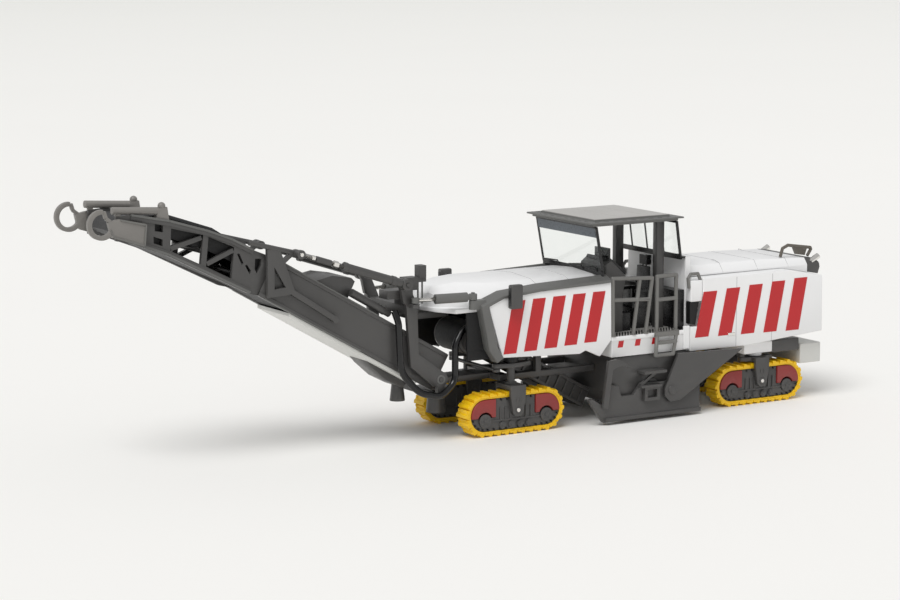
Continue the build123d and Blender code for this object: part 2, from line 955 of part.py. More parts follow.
rear_length = (fold_x - tail_x) / run_x
front_top = [(58.8, 42.2), (63.4, 44.6), (68.6, 46.6), (76.6, 49.0), (84.6, 50.6)]
front_low = [(84.6, 45.2), (77.0, 42.3), (59.6, 33.6)]
wall_y = (conveyor_half - wall_thickness, conveyor_half)


def conveyor_rear():
    """The straight rear trough of the conveyor, two walls and the pans between them."""
    corners = [along(0), along(rear_length), along(rear_length, conveyor_depth), along(0, conveyor_depth)]
    wall = side_plate(corners, wall_y)
    wall += across(lift_pin[0], lift_pin[1], ear_r, wall_y)
    wall -= across(lift_pin[0], lift_pin[1], lift_pin_r + running_gap, (0, 20))
    upper_flange = side_plate(
        [along(0.6), along(rear_length), along(rear_length, 0.8), along(0.6, 0.8)],
        (wall_y[0], conveyor_half + flange),
    )
    lower_flange = side_plate(
        [
            along(8, conveyor_depth - 0.8),
            along(rear_length, conveyor_depth - 0.8),
            along(rear_length, conveyor_depth),
            along(8, conveyor_depth),
        ],
        (wall_y[0], conveyor_half + flange),
    )
    shape = wall + upper_flange + lower_flange
    shape += flip(shape)
    for distance in (3.0, 14.0, 25.0, 36.0):
        pan = [
            along(distance, 3.1),
            along(distance + 1.2, 3.1),
            along(distance + 1.2, 4.9),
            along(distance, 4.9),
        ]
        shape += side_plate(pan, (-conveyor_half + 0.2, conveyor_half - 0.2))
    return shape


def conveyor_front():
    """The bent front truss of the conveyor."""
    start_top = along(rear_length + small_gap)
    start_low = along(rear_length + small_gap, conveyor_depth)
    tip_top = (tip_x - 3.4, tip_z + 1.2)
    tip_low = (tip_x - 3.4, tip_z - 3.4)
    outline = [start_top, *front_top, tip_top, tip_low, *front_low, start_low]
    wall = side_plate(outline, wall_y)
    windows = [
        [(76.2, 47.5), (76.4, 43.2), (70.0, 40.1), (69.4, 45.8)],
        [(68.3, 45.4), (68.9, 39.6), (63.4, 36.8), (62.8, 43.0)],
        [(79.6, 48.6), (79.6, 47.2), (77.9, 46.9), (77.9, 48.2)],
        [(79.9, 46.2), (79.9, 44.9), (78.0, 44.2), (78.0, 45.5)],
        [(62.2, 41.6), (61.7, 41.7), (60.8, 39.7), (61.2, 39.4)],
        [(60.5, 39.2), (60.1, 39.4), (59.2, 38.1), (59.5, 37.4)],
        [(58.3, 40.4), (56.9, 40.3), (57.0, 39.0), (58.0, 37.4), (58.4, 38.4)],
    ]
    for window in windows:
        wall -= side_plate(window, (0, 20))
    diagonals = [((76.3, 43.6), (69.8, 45.3)), ((68.7, 40.1), (63.0, 42.4))]
    for start, end in diagonals:
        wall += strip(start, end, 0.9, wall_y)
    chord_y = (conveyor_half - wall_thickness, conveyor_half + chord_proud)
    for start, end in zip(front_top, front_top[1:]):
        wall += strip((start[0], start[1] - 0.45), (end[0], end[1] - 0.45), 0.9, chord_y)
    for start, end in zip(front_low, front_low[1:]):
        wall += strip((start[0], start[1] + 0.45), (end[0], end[1] + 0.45), 0.9, chord_y)
    shape = wall + flip(wall)
    for x, z in ((60.6, 37.2), (69.2, 42.6), (77.4, 45.8), (85.6, 47.6)):
        shape += across(x, z, 0.55, (-conveyor_half + 0.2, conveyor_half - 0.2))
    return shape


def end_guard():
    """The ring-shaped guard at the conveyor's tip."""
    low = conveyor_half + chord_proud + small_gap / 5
    y_range = (low, low + wall_thickness)
    ring = across(tip_x, tip_z, tip_r, y_range) - across(tip_x, tip_z, tip_r - ring_band, (0, 20))
    mouth = side_plate(
        [(tip_x - 0.4, tip_z), (tip_x - 0.2, tip_z + 4), (tip_x - 4, tip_z + 4), (tip_x - 4, tip_z + 0.6)],
        (0, 20),
    )
    plate_points = [
        (tip_x - 1.2, tip_z + 0.4),
        (tip_x - 3.6, tip_z + 0.9),
        (82.0, 48.9),
        (82.5, 44.6),
        (tip_x - 2.2, tip_z - 2.6),
        (tip_x - 1.6, tip_z - 1.2),
    ]
    return (ring - mouth) + side_plate(plate_points, y_range)


def tip_tubes():
    """The round covers and posts along the top of the tip."""
    y = conveyor_half - 0.5
    tube = rod((tip_x - 2.8, y, tip_z + 2.4), (tip_x - 12.4, y, tip_z + 1.8), 0.72)
    post = side_plate([(78.9, 51.5), (77.0, 51.7), (76.6, 49.05), (79.2, 49.57)], (y - 0.7, y + 0.7))
    knob = Pos(77.9, y, 51.9) * Sphere(0.75)
    foot = block((tip_x - 4.4, tip_x - 3.4), (y - 0.4, y + 0.4), (tip_z + 1.3, tip_z + 2.4))
    return both(tube + post + knob + foot)


belt_path = [
    (15.6, 15.6),
    (54.2, 37.7),
    (60.0, 42.5),
    (66.9, 46.9),
    (76.4, 50.1),
    (86.4, 50.2),
    (88.2, 49.2),
    (88.2, 47.6),
    (86.4, 46.4),
    (76.8, 42.2),
    (57.8, 33.4),
    (23.6, 13.8),
    (18.6, 12.4),
    (15.9, 14.0),
]


def belt():
    """The belt as one closed loop through both sections."""
    half = belt_half
    outer = side_plate(belt_path, (-half, half))
    inner_face = offset(
        make_face(Polyline(*belt_path, close=True)), amount=-conveyor_belt_thickness, kind=Kind.INTERSECTION
    )
    inner = extrude(Plane.XZ.offset(-half - 1) * inner_face, amount=2 * half + 2)
    return outer - inner


def under_cover():
    """The pale plate under the rear section."""
    start, end = 4.0, 37.7
    top = conveyor_depth + small_gap / 5
    low = top + cover_depth
    points = [along(start, top), along(end, top), along(end - 0.3, low), along(start + 0.5, low)]
    return side_plate(points, (-conveyor_half, conveyor_half))


def belly_guard():
    """The dark guard under the plate and the cone that hangs from it."""
    top = conveyor_depth + cover_depth + 2 * small_gap / 5
    points = [
        along(15.0, top),
        along(13.4, top + 0.6),
        along(9.0, top + 1.5),
        along(4.6, top + 1.3),
        along(4.2, top),
    ]
    shape = side_plate(points, (-3.6, 3.6))
    return shape + Pos(22.3, 0, 7.6) * Cone(1.6, 1.15, 4.0, align=(Align.CENTER, Align.CENTER, Align.MIN))


def a_bracket():
    """The A-shaped bracket at the fold, its stay lug and the link bar behind it."""
    low = conveyor_half + flange + small_gap / 5
    y_range = (low, low + 0.9)
    outer = [(56.2, 42.2), (56.2, 32.6), (50.0, 33.0), (53.4, 42.0)]
    shape = side_plate(outer, y_range) - side_plate([(54.7, 38.6), (54.7, 34.2), (52.2, 34.4)], (0, 20))
    shape += rod((60.0, low + 0.52, 43.7), (50.4, low + 0.52, 41.2), 0.5)
    shape += strip((50.4, 41.2), (53.2, 39.0), 0.8, y_range)
    shape += across(lift_front_pin[0] + 0.2, lift_front_pin[1], eye_r, y_range)
    shape += across(lift_front_pin[0], lift_front_pin[1], eye_r, (low, lift_y - 0.65))
    shape += strip((50.6, 33.3), (41.0, 27.1), 1.1, y_range)
    return shape + across(41.0, 27.1, 0.75, y_range)


def suction_box():
    """The box over the belt and the pipe that runs down from it."""
    low = -0.4
    box = side_plate(
        [along(26.0, low), along(34.2, low), along(31.4, -2.8), along(27.3, -4.3), along(26.2, -4.0)],
        (-4.6, 4.8),
    )
    box += side_plate(
        [along(27.0, 0.03 - small_gap), along(31.0, 0.03 - small_gap), along(31.0, low), along(27.0, low)],
        (-conveyor_half, -4.4),
    )
    return box


def dust_pipe():
    """The pipe along the left wall, down to the hose."""
    y = conveyor_half - 0.9
    high = along(26.6, -1.5)
    low = along(17.8, -1.5)
    pipe = rod((high[0], y, high[1]), (low[0], y, low[1]), 0.85)
    cuff = rod((low[0], y, low[1]), (low[0] - 1.4 * run_x, y, low[1] - 1.4 * run_z), 0.72)
    return pipe + cuff


# Slewing frame
arm_low = conveyor_half + flange + arm_gap
arm_high = arm_low + arm_plate
lift_y = arm_high + small_gap + lift_barrel_r


def slew_arm():
    """One side arm of the slewing frame, from the cylinder's pin down to the lift pin."""
    x, z = lift_pin
    rear_x_pin, rear_z_pin = lift_rear_pin
    post = side_plate(
        [
            (rear_x_pin - 1.0, rear_z_pin + 0.4),
            (rear_x_pin + 0.9, rear_z_pin),
            (25.6, 29.2),
            (25.0, 28.8),
            (23.9, 15.9),
            (x + 1.4, z - 1.5),
            (x - 0.4, z - 0.2),
            (x - 0.6, z + 1.5),
            (22.1, 18.4),
            (22.4, 28.6),
        ],
        (arm_low, arm_high),
    )
    post += across(x, z, ear_r, (arm_low, arm_high))
    post += across(rear_x_pin, rear_z_pin, eye_r + 0.3, (arm_low, arm_high))
    post += across(rear_x_pin, rear_z_pin, eye_pin_r, (arm_low, lift_y + lift_barrel_r))
    post += across(x, z, lift_pin_r, (wall_y[0] + 0.1, arm_high + 0.25))
    lug_x, lug_y = slew_front_pin
    lug = block(
        (lug_x - eye_r, lug_x + eye_r), (arm_low, lug_y), (slew_cylinder_z - 1.5, slew_cylinder_z - 0.75)
    )
    lug += rod((lug_x, lug_y, slew_cylinder_z - 1.5), (lug_x, lug_y, slew_cylinder_z - 0.75), eye_r)
    return post + lug


def slew_frame():
    """The frame that swings with the conveyor: two arms, the head beam and the pivot arms."""
    shape = slew_arm()
    shape += flip(shape)
    shape += block((22.4, 24.6), (-arm_high, arm_high), head_beam_z)
    shape += block((nose_x + 1.2, 22.6), (-2.6, 2.6), head_beam_z)
    neck = block((nose_x + 1.2, nose_x + 2.4), (-2.6, 2.6), (pivot_z[0], head_beam_z[1]))
    upper = block((slew_x, nose_x + 2.4), (-2.6, 2.6), pivot_z)
    upper += rod((slew_x, 0, pivot_z[0]), (slew_x, 0, pivot_z[1]), 2.6)
    upper -= rod((slew_x, 0, 0), (slew_x, 0, nose_bottom_z), slew_pin_r + running_gap)
    shape += neck + upper
    foot_x = (lift_pin[0] - 0.8, lift_pin[0] + 0.8)
    sole = block((slew_x + 0.2, foot_x[1]), (-2.8, 2.8), sole_z)
    sole += Pos(slew_x, 0, 4.3) * Cone(
        2.1, 1.7, sole_z[0] - 4.3, align=(Align.CENTER, Align.CENTER, Align.MIN)
    )
    sole += rod((slew_x, 0, sole_z[0]), (slew_x, 0, sole_z[1]), 2.8)
    sole -= rod((slew_x, 0, 0), (slew_x, 0, 20), slew_pin_r + running_gap)
    foot = block(foot_x, (-arm_high, arm_high), sole_z)
    shape += sole + foot
    for side in (-1, 1):
        y_range = sorted((side * arm_low, side * arm_high))
        shape += block(foot_x, y_range, (sole_z[0], lift_pin[1]))
    return shape


def gear_head():
    """The rounded box on the head beam, by the left arm, with the block that carries the lamp."""
    y_range = (3.2, 6.6)
    riser = block((22.4, 24.8), y_range, (head_beam_z[1], 31.6))
    riser += block((20.9, 23.9), (3.8, 6.2), (31.3, 33.9))
    return riser + block((24.6, 28.4), y_range, (29.9, 31.6))


def work_lamp():
    """The lamp on its bracket over the left arm."""
    bracket = block((18.9, 21.4), (4.4, 6.0), (32.8, 33.7))
    return bracket + block((19.0, 20.6), (4.2, 6.2), (33.6, 36.2))


def hose():
    """The hose that hangs from the pipe's end and loops up into the bay."""
    y = 8.3
    points = [
        (27.3, 7.5, 27.6),
        (26.8, y, 25.2),
        (26.3, y, 15.0),
        (22.6, y + 1.1, 10.6),
        (17.4, y + 1.1, 9.3),
        (13.6, y + 0.3, 12.0),
        (13.4, y, 19.6),
        (11.4, y - 0.4, 22.6),
        (6.2, y - 0.7, 23.7),
    ]
    radii = [3.6, 6.0, 4.6, 3.4, 3.0, 3.0, 3.0]
    path = FilletPolyline(*points, radius=radii)
    start = Plane(origin=path @ 0, z_dir=path % 0)
    return sweep(start * Circle(hose_r), path=path)


# Cylinders
lift_run = (lift_front_pin[0] - lift_rear_pin[0], lift_front_pin[1] - lift_rear_pin[1])
lift_length = hypot(*lift_run)
slew_run = (slew_front_pin[0] - slew_rear_pin[0], slew_front_pin[1] - slew_rear_pin[1])


def lift_point(share, y):
    """A point on the lift cylinder's line, as a share of its length at rest."""
    return (lift_rear_pin[0] + share * lift_run[0], y, lift_rear_pin[1] + share * lift_run[1])


def slew_point(share):
    """A point on the slewing cylinder's line, as a share of its length at rest."""
    return (slew_rear_pin[0] + share * slew_run[0], slew_rear_pin[1] + share * slew_run[1], slew_cylinder_z)


def lift_barrel():
    """The lift cylinder's barrel with its eye."""
    y = lift_y
    start = 1.4 / lift_length
    shape = rod(lift_point(start, y), lift_point(lift_barrel_share, y), lift_barrel_r)
    shape += across(lift_rear_pin[0], lift_rear_pin[1], eye_r + 0.35, (y - 0.7, y + 0.7))
    shape += rod(lift_point(0.2 / lift_length, y), lift_point(start + 0.02, y), 0.65)
    shape -= across(lift_rear_pin[0], lift_rear_pin[1], eye_pin_r + running_gap, (y - 2, y + 2))
    shape -= rod(lift_point(0.16, y), lift_point(lift_barrel_share + 0.02, y), lift_rod_r + running_gap)
    return shape


def lift_rod():
    """The lift cylinder's bright rod with its eye."""
    y = lift_y
    shape = rod(lift_point(0.24, y), lift_point(1, y), lift_rod_r)
    shape += across(lift_front_pin[0], lift_front_pin[1], eye_r, (y - 0.45, y + 0.45))
    return shape + across(lift_front_pin[0], lift_front_pin[1], eye_pin_r, (y, y + 0.7))


def slew_eye(pin, height, radius):
    """A flat eye round an upright pin."""
    low, high = slew_cylinder_z - height / 2, slew_cylinder_z + height / 2
    return rod((*pin, low), (*pin, high), radius)


def slew_barrel():
    """The slewing cylinder's barrel with its eye."""
    shape = rod(slew_point(0.11), slew_point(slew_barrel_share), slew_barrel_r)
    shape += rod(slew_point(0.03), slew_point(0.14), 0.6)
    shape += slew_eye(slew_rear_pin, 1.2, eye_r)
    shape -= rod((*slew_rear_pin, 0), (*slew_rear_pin, 50), eye_pin_r + running_gap)
    return shape - rod(slew_point(0.15), slew_point(slew_barrel_share + 0.05), slew_rod_r + running_gap)


def slew_rod():
    """The slewing cylinder's bright rod with its eye."""
    shape = rod(slew_point(0.4), slew_point(1), slew_rod_r)
    return shape + slew_eye(slew_front_pin, 1.0, eye_r - 0.1)


def slew_bracket():
    """The lug at the hood's corner that holds the slewing cylinder."""
    x, y = slew_rear_pin
    low, high = slew_cylinder_z - 2.6, slew_cylinder_z - 0.75
    lug = block((8.4, x), (y - eye_r + 0.06, y + eye_r), (low, high)) + rod((x, y, low), (x, y, high), eye_r)
    lug += rod((x, y, low), (x, y, slew_cylinder_z + 0.9), eye_pin_r)
    return lug


def place_track(shape, x, side):
    """A copy of a track piece at one corner, mirrored on the right."""
    turned = shape if side > 0 else flip(shape)
    return Pos(x, side * gauge / 2, 0) * turned


def build_nodes():
    """Every node of the model by name."""
    nodes = {}
    corners = [
        # name, x, side, column top, arm height
        ("front_left", 0.0, 1, front_column_top, front_tie_z),
        ("front_right", 0.0, -1, front_column_top, front_tie_z),
        ("rear_left", -wheelbase, 1, rear_column_top, rear_arm_z),
        ("rear_right", -wheelbase, -1, rear_column_top, rear_arm_z),
    ]
    loop, frame, guards = track_loop(), track_frame(), track_guards()
    for name, x, side, top, arm_z in corners:
        nodes["track_" + name] = place_track(loop, x, side)
        nodes["guards_" + name] = place_track(guards, x, side)
        nodes["track_frame_" + name] = place_track(joined(frame, yoke(top, arm_z)), x, side)
    nodes["tie_rod_front"] = tie_rod(steer_arm, front_tie_z, False)
    nodes["tie_rod_rear"] = tie_rod(-wheelbase + steer_arm, rear_arm_z, True)

    nodes["front_panels"] = both(front_panel())
    nodes["hood_trims"] = both(trim() + slew_bracket())
    nodes["front_hood"] = front_hood()
    nodes["lamp_boxes"] = both(lamp_box())
    nodes["bulkhead"] = bulkhead()
    nodes["chassis"] = chassis()
    nodes["primary_conveyor"] = primary_conveyor()
    nodes["platform"] = platform()
    nodes["rear_body"] = rear_body()
    nodes["engine_hood"] = engine_hood()
    nodes["cab_wall"] = cab_wall()
    nodes["side_boxes"] = both(side_box())
    nodes["cab_roof"] = cab_roof()
    nodes["cab_posts"] = cab_posts()
    nodes["windscreen"] = leaning_glass(screen_bottom, screen_top, screen_half)
    nodes["rear_window"] = leaning_glass(rear_glass_bottom, rear_glass_top, screen_half)
    nodes["console"] = console()
    nodes["seat"] = seat()
    nodes["railings"] = both(railing())
    nodes["ladders"] = joined(*[both(shape) for shape in ladder()])
    nodes["drum_housing"] = drum_housing()
    nodes["ski_plates"] = both(ski_plate())
    nodes["swing_plates"] = both(swing_plate())
    nodes["side_steps"] = joined(both(hook_strut()), both(steps()))
    nodes["milling_drum"] = milling_drum()
    nodes["rear_crosshead"] = joined(rear_crosshead(), rear_collars())
    nodes["rear_box"] = rear_box()
    nodes["rear_bumper"] = rear_bumper()
    nodes["rear_grille"] = rear_grille()
    nodes["rear_handrail"] = rear_handrail()

    nodes["slew_frame"] = slew_frame() + gear_head() + work_lamp()
    nodes["hose"] = hose()
    for side, turned in (("left", False), ("right", True)):
        for name, shape in (("slew_barrel", slew_barrel()), ("slew_rod", slew_rod())):
            nodes[name + "_" + side] = flip(shape) if turned else shape
    nodes["lift_barrels"] = both(lift_barrel())
    nodes["lift_rods"] = both(lift_rod())

    nodes["conveyor_rear"] = conveyor_rear()
    nodes["conveyor_front"] = conveyor_front()
    nodes["tip_fittings"] = joined(both(end_guard()), tip_tubes())
    nodes["belt"] = belt()
    nodes["under_cover"] = under_cover()
    nodes["belly_guard"] = belly_guard()
    nodes["a_brackets"] = both(a_bracket())
    nodes["suction_duct"] = joined(suction_box(), dust_pipe())
    return nodes


def main():
    """Centres the model over its origin and writes one file per node."""
    nodes = build_nodes()
    box = Compound(children=[solid for shape in nodes.values() for solid in shape.solids()]).bounding_box()
    middle = (box.min.X + box.max.X) / 2
    os.makedirs("parts", exist_ok=True)
    for name, shape in nodes.items():
        moved = Pos(-middle, 0, -box.min.Z) * Compound(children=[*shape.solids()])
        export_step(moved, os.path.join("parts", name + ".step"))
    print("nodes", len(nodes), "middle", round(middle, 4), "low", round(box.min.Z, 4), "size", box.size)


if __name__ == "__main__":
    main()
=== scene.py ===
"""Looks of the cold planer display model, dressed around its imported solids.

Pieces are drawn in the modeller's millimetres: X forward from the front columns,
Y left, Z up. Each is then moved under the model's own origin and turned into metres.
"""

import bmesh
import bpy
from math import cos, hypot, pi, radians, sin
from mathutils import Matrix, Vector


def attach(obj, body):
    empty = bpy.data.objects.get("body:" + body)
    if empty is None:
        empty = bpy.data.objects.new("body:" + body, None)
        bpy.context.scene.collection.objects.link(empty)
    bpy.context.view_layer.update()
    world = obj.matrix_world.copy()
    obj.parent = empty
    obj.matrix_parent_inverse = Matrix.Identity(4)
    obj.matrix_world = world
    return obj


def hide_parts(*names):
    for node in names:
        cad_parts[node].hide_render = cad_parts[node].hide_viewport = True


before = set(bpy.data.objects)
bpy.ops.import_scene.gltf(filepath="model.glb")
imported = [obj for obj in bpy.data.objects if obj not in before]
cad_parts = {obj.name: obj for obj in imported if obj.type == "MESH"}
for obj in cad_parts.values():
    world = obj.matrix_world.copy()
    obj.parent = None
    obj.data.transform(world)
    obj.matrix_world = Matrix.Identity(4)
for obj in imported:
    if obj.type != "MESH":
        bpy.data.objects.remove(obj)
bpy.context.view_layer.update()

# Measures shared with the solids, in millimetres
origin_x = 6.45
wheelbase = 63.8
gauge = 17.1
track_length = 24.14
track_height = 9.09
track_width = 4.1
lug_height = 0.4
pad_r = track_height / 2 - lug_height
track_straight = (track_length - track_height) / 2
band_inner_r = 3.395
guard_half = 2.15
pin_z = 5.2
half_width = 12.6
floor_z = 18.6
rear_x = -79.5
bay_front_x = -22.6
rail_y = 12.2
conveyor_half = 6.85
conveyor_angle = 29.8
conveyor_depth = 8.1
tail = (14.1, 17.4)
lift_rear_pin = (25.6, 33.1)
lift_front_pin = (49.6, 40.9)
lift_y = 9.4
lift_pin = (16.8, 12.7)
slew_front_pin = (23.6, 9.6)
slew_cylinder_z = 29.75
pipe_y = 8.85

corners = [
    # name, x of the column, side
    ("front_left", 0.0, 1),
    ("front_right", 0.0, -1),
    ("rear_left", -wheelbase, 1),
    ("rear_right", -wheelbase, -1),
]

# Measures of the details on the tracks, in millimetres
shoe_count = 28
link_count = 38
link_inset = 1.12
roller_count = 4
roller_pitch = 2.175
roller_z = 2.17
hub_z = track_height / 2 - 1.125
hub_bolts = 6
bolt_circle_r = 0.95
frame_half = 1.75
frame_rib_pitch = 1.25
fork_half = 3.0
loop_length = 4 * track_straight + 2 * pi * pad_r

# Leaning panes of the cab, each as its lower and upper point in X and Z
windscreen_line = ((-21.2, 32.45), (-19.4, 42.0))
rear_window_line = ((-41.3, 34.4), (-40.2, 42.0))
pane_half = 11.3

# Inner conveyor's middle line and the drum at its head, in X and Z
conveyor_foot = Vector((-21.4, 0, 4.6))
conveyor_head = Vector((6.2, 0, 19.9))
conveyor_line = (conveyor_head - conveyor_foot).normalized()
conveyor_up = Vector((-conveyor_line.z, 0, conveyor_line.x))
head_drum = (7.0, 19.9)


# Finishes
def linear(red, green, blue):
    """A screen colour, 0 to 255, as the shader's own linear values."""
    shares = [value / 255 for value in (red, green, blue)]
    return [s / 12.92 if s <= 0.04045 else ((s + 0.055) / 1.055) ** 2.4 for s in shares]


def scaled(colour, factor):
    """A colour made lighter or darker, kept under full white."""
    return (*[min(1.0, value * factor) for value in colour], 1.0)


def noise(nodes, links, place, scale, detail=3.0):
    """A noise texture on the given coordinates."""
    texture = nodes.new("ShaderNodeTexNoise")
    texture.inputs["Scale"].default_value = scale
    texture.inputs["Detail"].default_value = detail
    links.new(place, texture.inputs["Vector"])
    return texture


def remap(nodes, links, source, low, high):
    """A value from 0.3 to 0.7 stretched to low and high."""
    stretch = nodes.new("ShaderNodeMapRange")
    stretch.inputs["From Min"].default_value = 0.3
    stretch.inputs["From Max"].default_value = 0.7
    stretch.inputs["To Min"].default_value = low
    stretch.inputs["To Max"].default_value = high
    links.new(source, stretch.inputs["Value"])
    return stretch.outputs["Result"]


def finish_of(
    name, rgb, roughness, tint=0.05, cloud=140.0, grain=2600.0, relief=0.000012, metal=0.0, spread=0.06
):
    """A moulded or plated finish: soft tint changes, fine grain in gloss and relief."""
    material = bpy.data.materials.new(name)
    material.use_nodes = True
    nodes, links = material.node_tree.nodes, material.node_tree.links
    shader = nodes["Principled BSDF"]
    place = nodes.new("ShaderNodeTexCoord").outputs["Object"]
    broad = noise(nodes, links, place, cloud)
    fine = noise(nodes, links, place, grain, 2.0)
    colour = linear(*rgb)
    mix = nodes.new("ShaderNodeMix")
    mix.data_type = "RGBA"
    mix.inputs[6].default_value = scaled(colour, 1 - tint)
    mix.inputs[7].default_value = scaled(colour, 1 + tint)
    links.new(remap(nodes, links, broad.outputs["Fac"], 0.0, 1.0), mix.inputs[0])
    links.new(mix.outputs[2], shader.inputs["Base Color"])
    gloss = remap(nodes, links, fine.outputs["Fac"], roughness - spread, roughness + spread)
    links.new(gloss, shader.inputs["Roughness"])
    bump = nodes.new("ShaderNodeBump")
    bump.inputs["Strength"].default_value = 0.5
    bump.inputs["Distance"].default_value = relief
    links.new(fine.outputs["Fac"], bump.inputs["Height"])
    links.new(bump.outputs["Normal"], shader.inputs["Normal"])
    shader.inputs["Metallic"].default_value = metal
    return material


def ribbed_rubber():
    """The belt: dark rubber with low cross ribs."""
    material = finish_of("belt_rubber", (52, 52, 53), 0.62, tint=0.12, relief=0.00002)
    nodes, links = material.node_tree.nodes, material.node_tree.links
    place = nodes["Texture Coordinate"].outputs["Object"]
    wave = nodes.new("ShaderNodeTexWave")
    wave.wave_type = "BANDS"
    wave.bands_direction = "X"
    wave.inputs["Scale"].default_value = 260.0
    wave.inputs["Distortion"].default_value = 0.4
    links.new(place, wave.inputs["Vector"])
    bump = nodes.new("ShaderNodeBump")
    bump.inputs["Strength"].default_value = 0.6
    bump.inputs["Distance"].default_value = 0.00006
    links.new(wave.outputs["Fac"], bump.inputs["Height"])
    links.new(nodes["Bump"].outputs["Normal"], bump.inputs["Normal"])
    links.new(bump.outputs["Normal"], nodes["Principled BSDF"].inputs["Normal"])
    return material


def clear_plastic():
    """Thin clear glazing with a trace of haze."""
    material = bpy.data.materials.new("clear_glazing")
    material.use_nodes = True
    nodes, links = material.node_tree.nodes, material.node_tree.links
    shader = nodes["Principled BSDF"]
    place = nodes.new("ShaderNodeTexCoord").outputs["Object"]
    haze = noise(nodes, links, place, 220.0)
    mix = nodes.new("ShaderNodeMix")
    mix.data_type = "RGBA"
    mix.inputs[6].default_value = (*linear(244, 248, 247), 1)
    mix.inputs[7].default_value = (*linear(250, 252, 251), 1)
    links.new(haze.outputs["Fac"], mix.inputs[0])
    links.new(mix.outputs[2], shader.inputs["Base Color"])
    links.new(remap(nodes, links, haze.outputs["Fac"], 0.01, 0.05), shader.inputs["Roughness"])
    shader.inputs["Transmission Weight"].default_value = 1.0
    shader.inputs["IOR"].default_value = 1.3
    return material


white = finish_of("white_plastic", (238, 238, 238), 0.36, tint=0.01, relief=0.000002, spread=0.03)
pale = finish_of("pale_plastic", (214, 214, 210), 0.42, tint=0.02)
charcoal = finish_of("charcoal_plastic", (76, 75, 74), 0.36, tint=0.06)
steel_grey = finish_of("grey_plastic", (102, 102, 100), 0.42, tint=0.05)
rail_grey = finish_of("rail_grey_plastic", (112, 111, 108), 0.4, tint=0.05)
handle_grey = finish_of("handle_grey_plastic", (96, 90, 82), 0.4, tint=0.05)
# A lighter grey: painted highlight on the canopy's top, and the pale slats of the platform's grating.
pale_and_highlight_grey = finish_of("pale_grey_and_painted_highlight", (182, 180, 176), 0.36, tint=0.03)
seam_grey = finish_of("seam_grey_plastic", (176, 176, 176), 0.5, tint=0.03)
light_grey = finish_of("light_grey_plastic", (128, 125, 121), 0.42, tint=0.05)
black = finish_of("black_plastic", (20, 20, 21), 0.3, tint=0.1)
hose_black = finish_of("hose_black_plastic", (12, 12, 13), 0.2, tint=0.1, spread=0.03)
# Dull black for black parts, and painted shade in the conveyor's bay, the side recesses, the pipe openings
# and under the platform's slats.
black_and_painted_shade = finish_of("dull_black_and_painted_shade", (7, 7, 8), 0.6, tint=0.1)
yellow = finish_of("yellow_plastic", (242, 196, 18), 0.4, tint=0.06, cloud=420.0, relief=0.00002)
guard_red = finish_of("guard_red_plastic", (142, 52, 50), 0.38, tint=0.05)
livery_red = finish_of("livery_red_paint", (190, 26, 32), 0.34, tint=0.03)
chrome = finish_of("plated_metal", (226, 224, 220), 0.16, tint=0.03, metal=1.0, spread=0.04)
screen_grey = finish_of("visor_print", (88, 96, 104), 0.3, tint=0.03)
lamp_clear = finish_of("lamp_lens", (205, 205, 200), 0.12, tint=0.04)
belt_rubber = ribbed_rubber()
glazing = clear_plastic()


# Shaping
def box(bm, x, y, z):
    """A block between two values on each axis."""
    verts = bmesh.ops.create_cube(bm, size=1.0)["verts"]
    bmesh.ops.scale(bm, verts=verts, vec=(abs(x[1] - x[0]), abs(y[1] - y[0]), abs(z[1] - z[0])))
    bmesh.ops.translate(bm, verts=verts, vec=((x[0] + x[1]) / 2, (y[0] + y[1]) / 2, (z[0] + z[1]) / 2))
    return verts


def rod(bm, start, end, radius, sides=24, end_radius=None):
    """A round bar from one point to another."""
    start, end = Vector(start), Vector(end)
    run = end - start
    place = Matrix.Translation((start + end) / 2) @ run.to_track_quat("Z", "Y").to_matrix().to_4x4()
    last = radius if end_radius is None else end_radius
    made = bmesh.ops.create_cone(
        bm, cap_ends=True, segments=sides, radius1=radius, radius2=last, depth=run.length, matrix=place
    )
    return made["verts"]


def across(bm, x, z, radius, y, sides=28):
    """A round bar along Y."""
    return rod(bm, (x, y[0], z), (x, y[1], z), radius, sides)


def ball(bm, centre, radius):
    """A ball about a point."""
    place = Matrix.Translation(centre)
    made = bmesh.ops.create_uvsphere(bm, u_segments=16, v_segments=10, radius=radius, matrix=place)
    return made["verts"]


def tube(bm, points, radius, sides=16):
    """Round bars with balls at the corners between them."""
    for start, end in zip(points, points[1:]):
        rod(bm, start, end, radius, sides)
    for corner in points[1:-1]:
        ball(bm, corner, radius)


def plate(bm, outline, y):
    """A plate with an outline in X and Z between two Y values."""
    verts = [bm.verts.new((px, y[0], pz)) for px, pz in outline]
    face = bm.faces.new(verts)
    raised = bmesh.ops.extrude_face_region(bm, geom=[face])["geom"]
    top = [item for item in raised if isinstance(item, bmesh.types.BMVert)]
    bmesh.ops.translate(bm, verts=top, vec=(0, y[1] - y[0], 0))
    return verts + top


def deck(bm, outline, z):
    """A plate with an outline in X and Y between two heights."""
    verts = [bm.verts.new((px, py, z[0])) for px, py in outline]
    face = bm.faces.new(verts)
    raised = bmesh.ops.extrude_face_region(bm, geom=[face])["geom"]
    top = [item for item in raised if isinstance(item, bmesh.types.BMVert)]
    bmesh.ops.translate(bm, verts=top, vec=(0, 0, z[1] - z[0]))
    return verts + top


def upright(bm, outline, x):
    """A plate with an outline in Y and Z between two X values."""
    verts = [bm.verts.new((x[0], py, pz)) for py, pz in outline]
    face = bm.faces.new(verts)
    raised = bmesh.ops.extrude_face_region(bm, geom=[face])["geom"]
    top = [item for item in raised if isinstance(item, bmesh.types.BMVert)]
    bmesh.ops.translate(bm, verts=top, vec=(x[1] - x[0], 0, 0))
    return verts + top


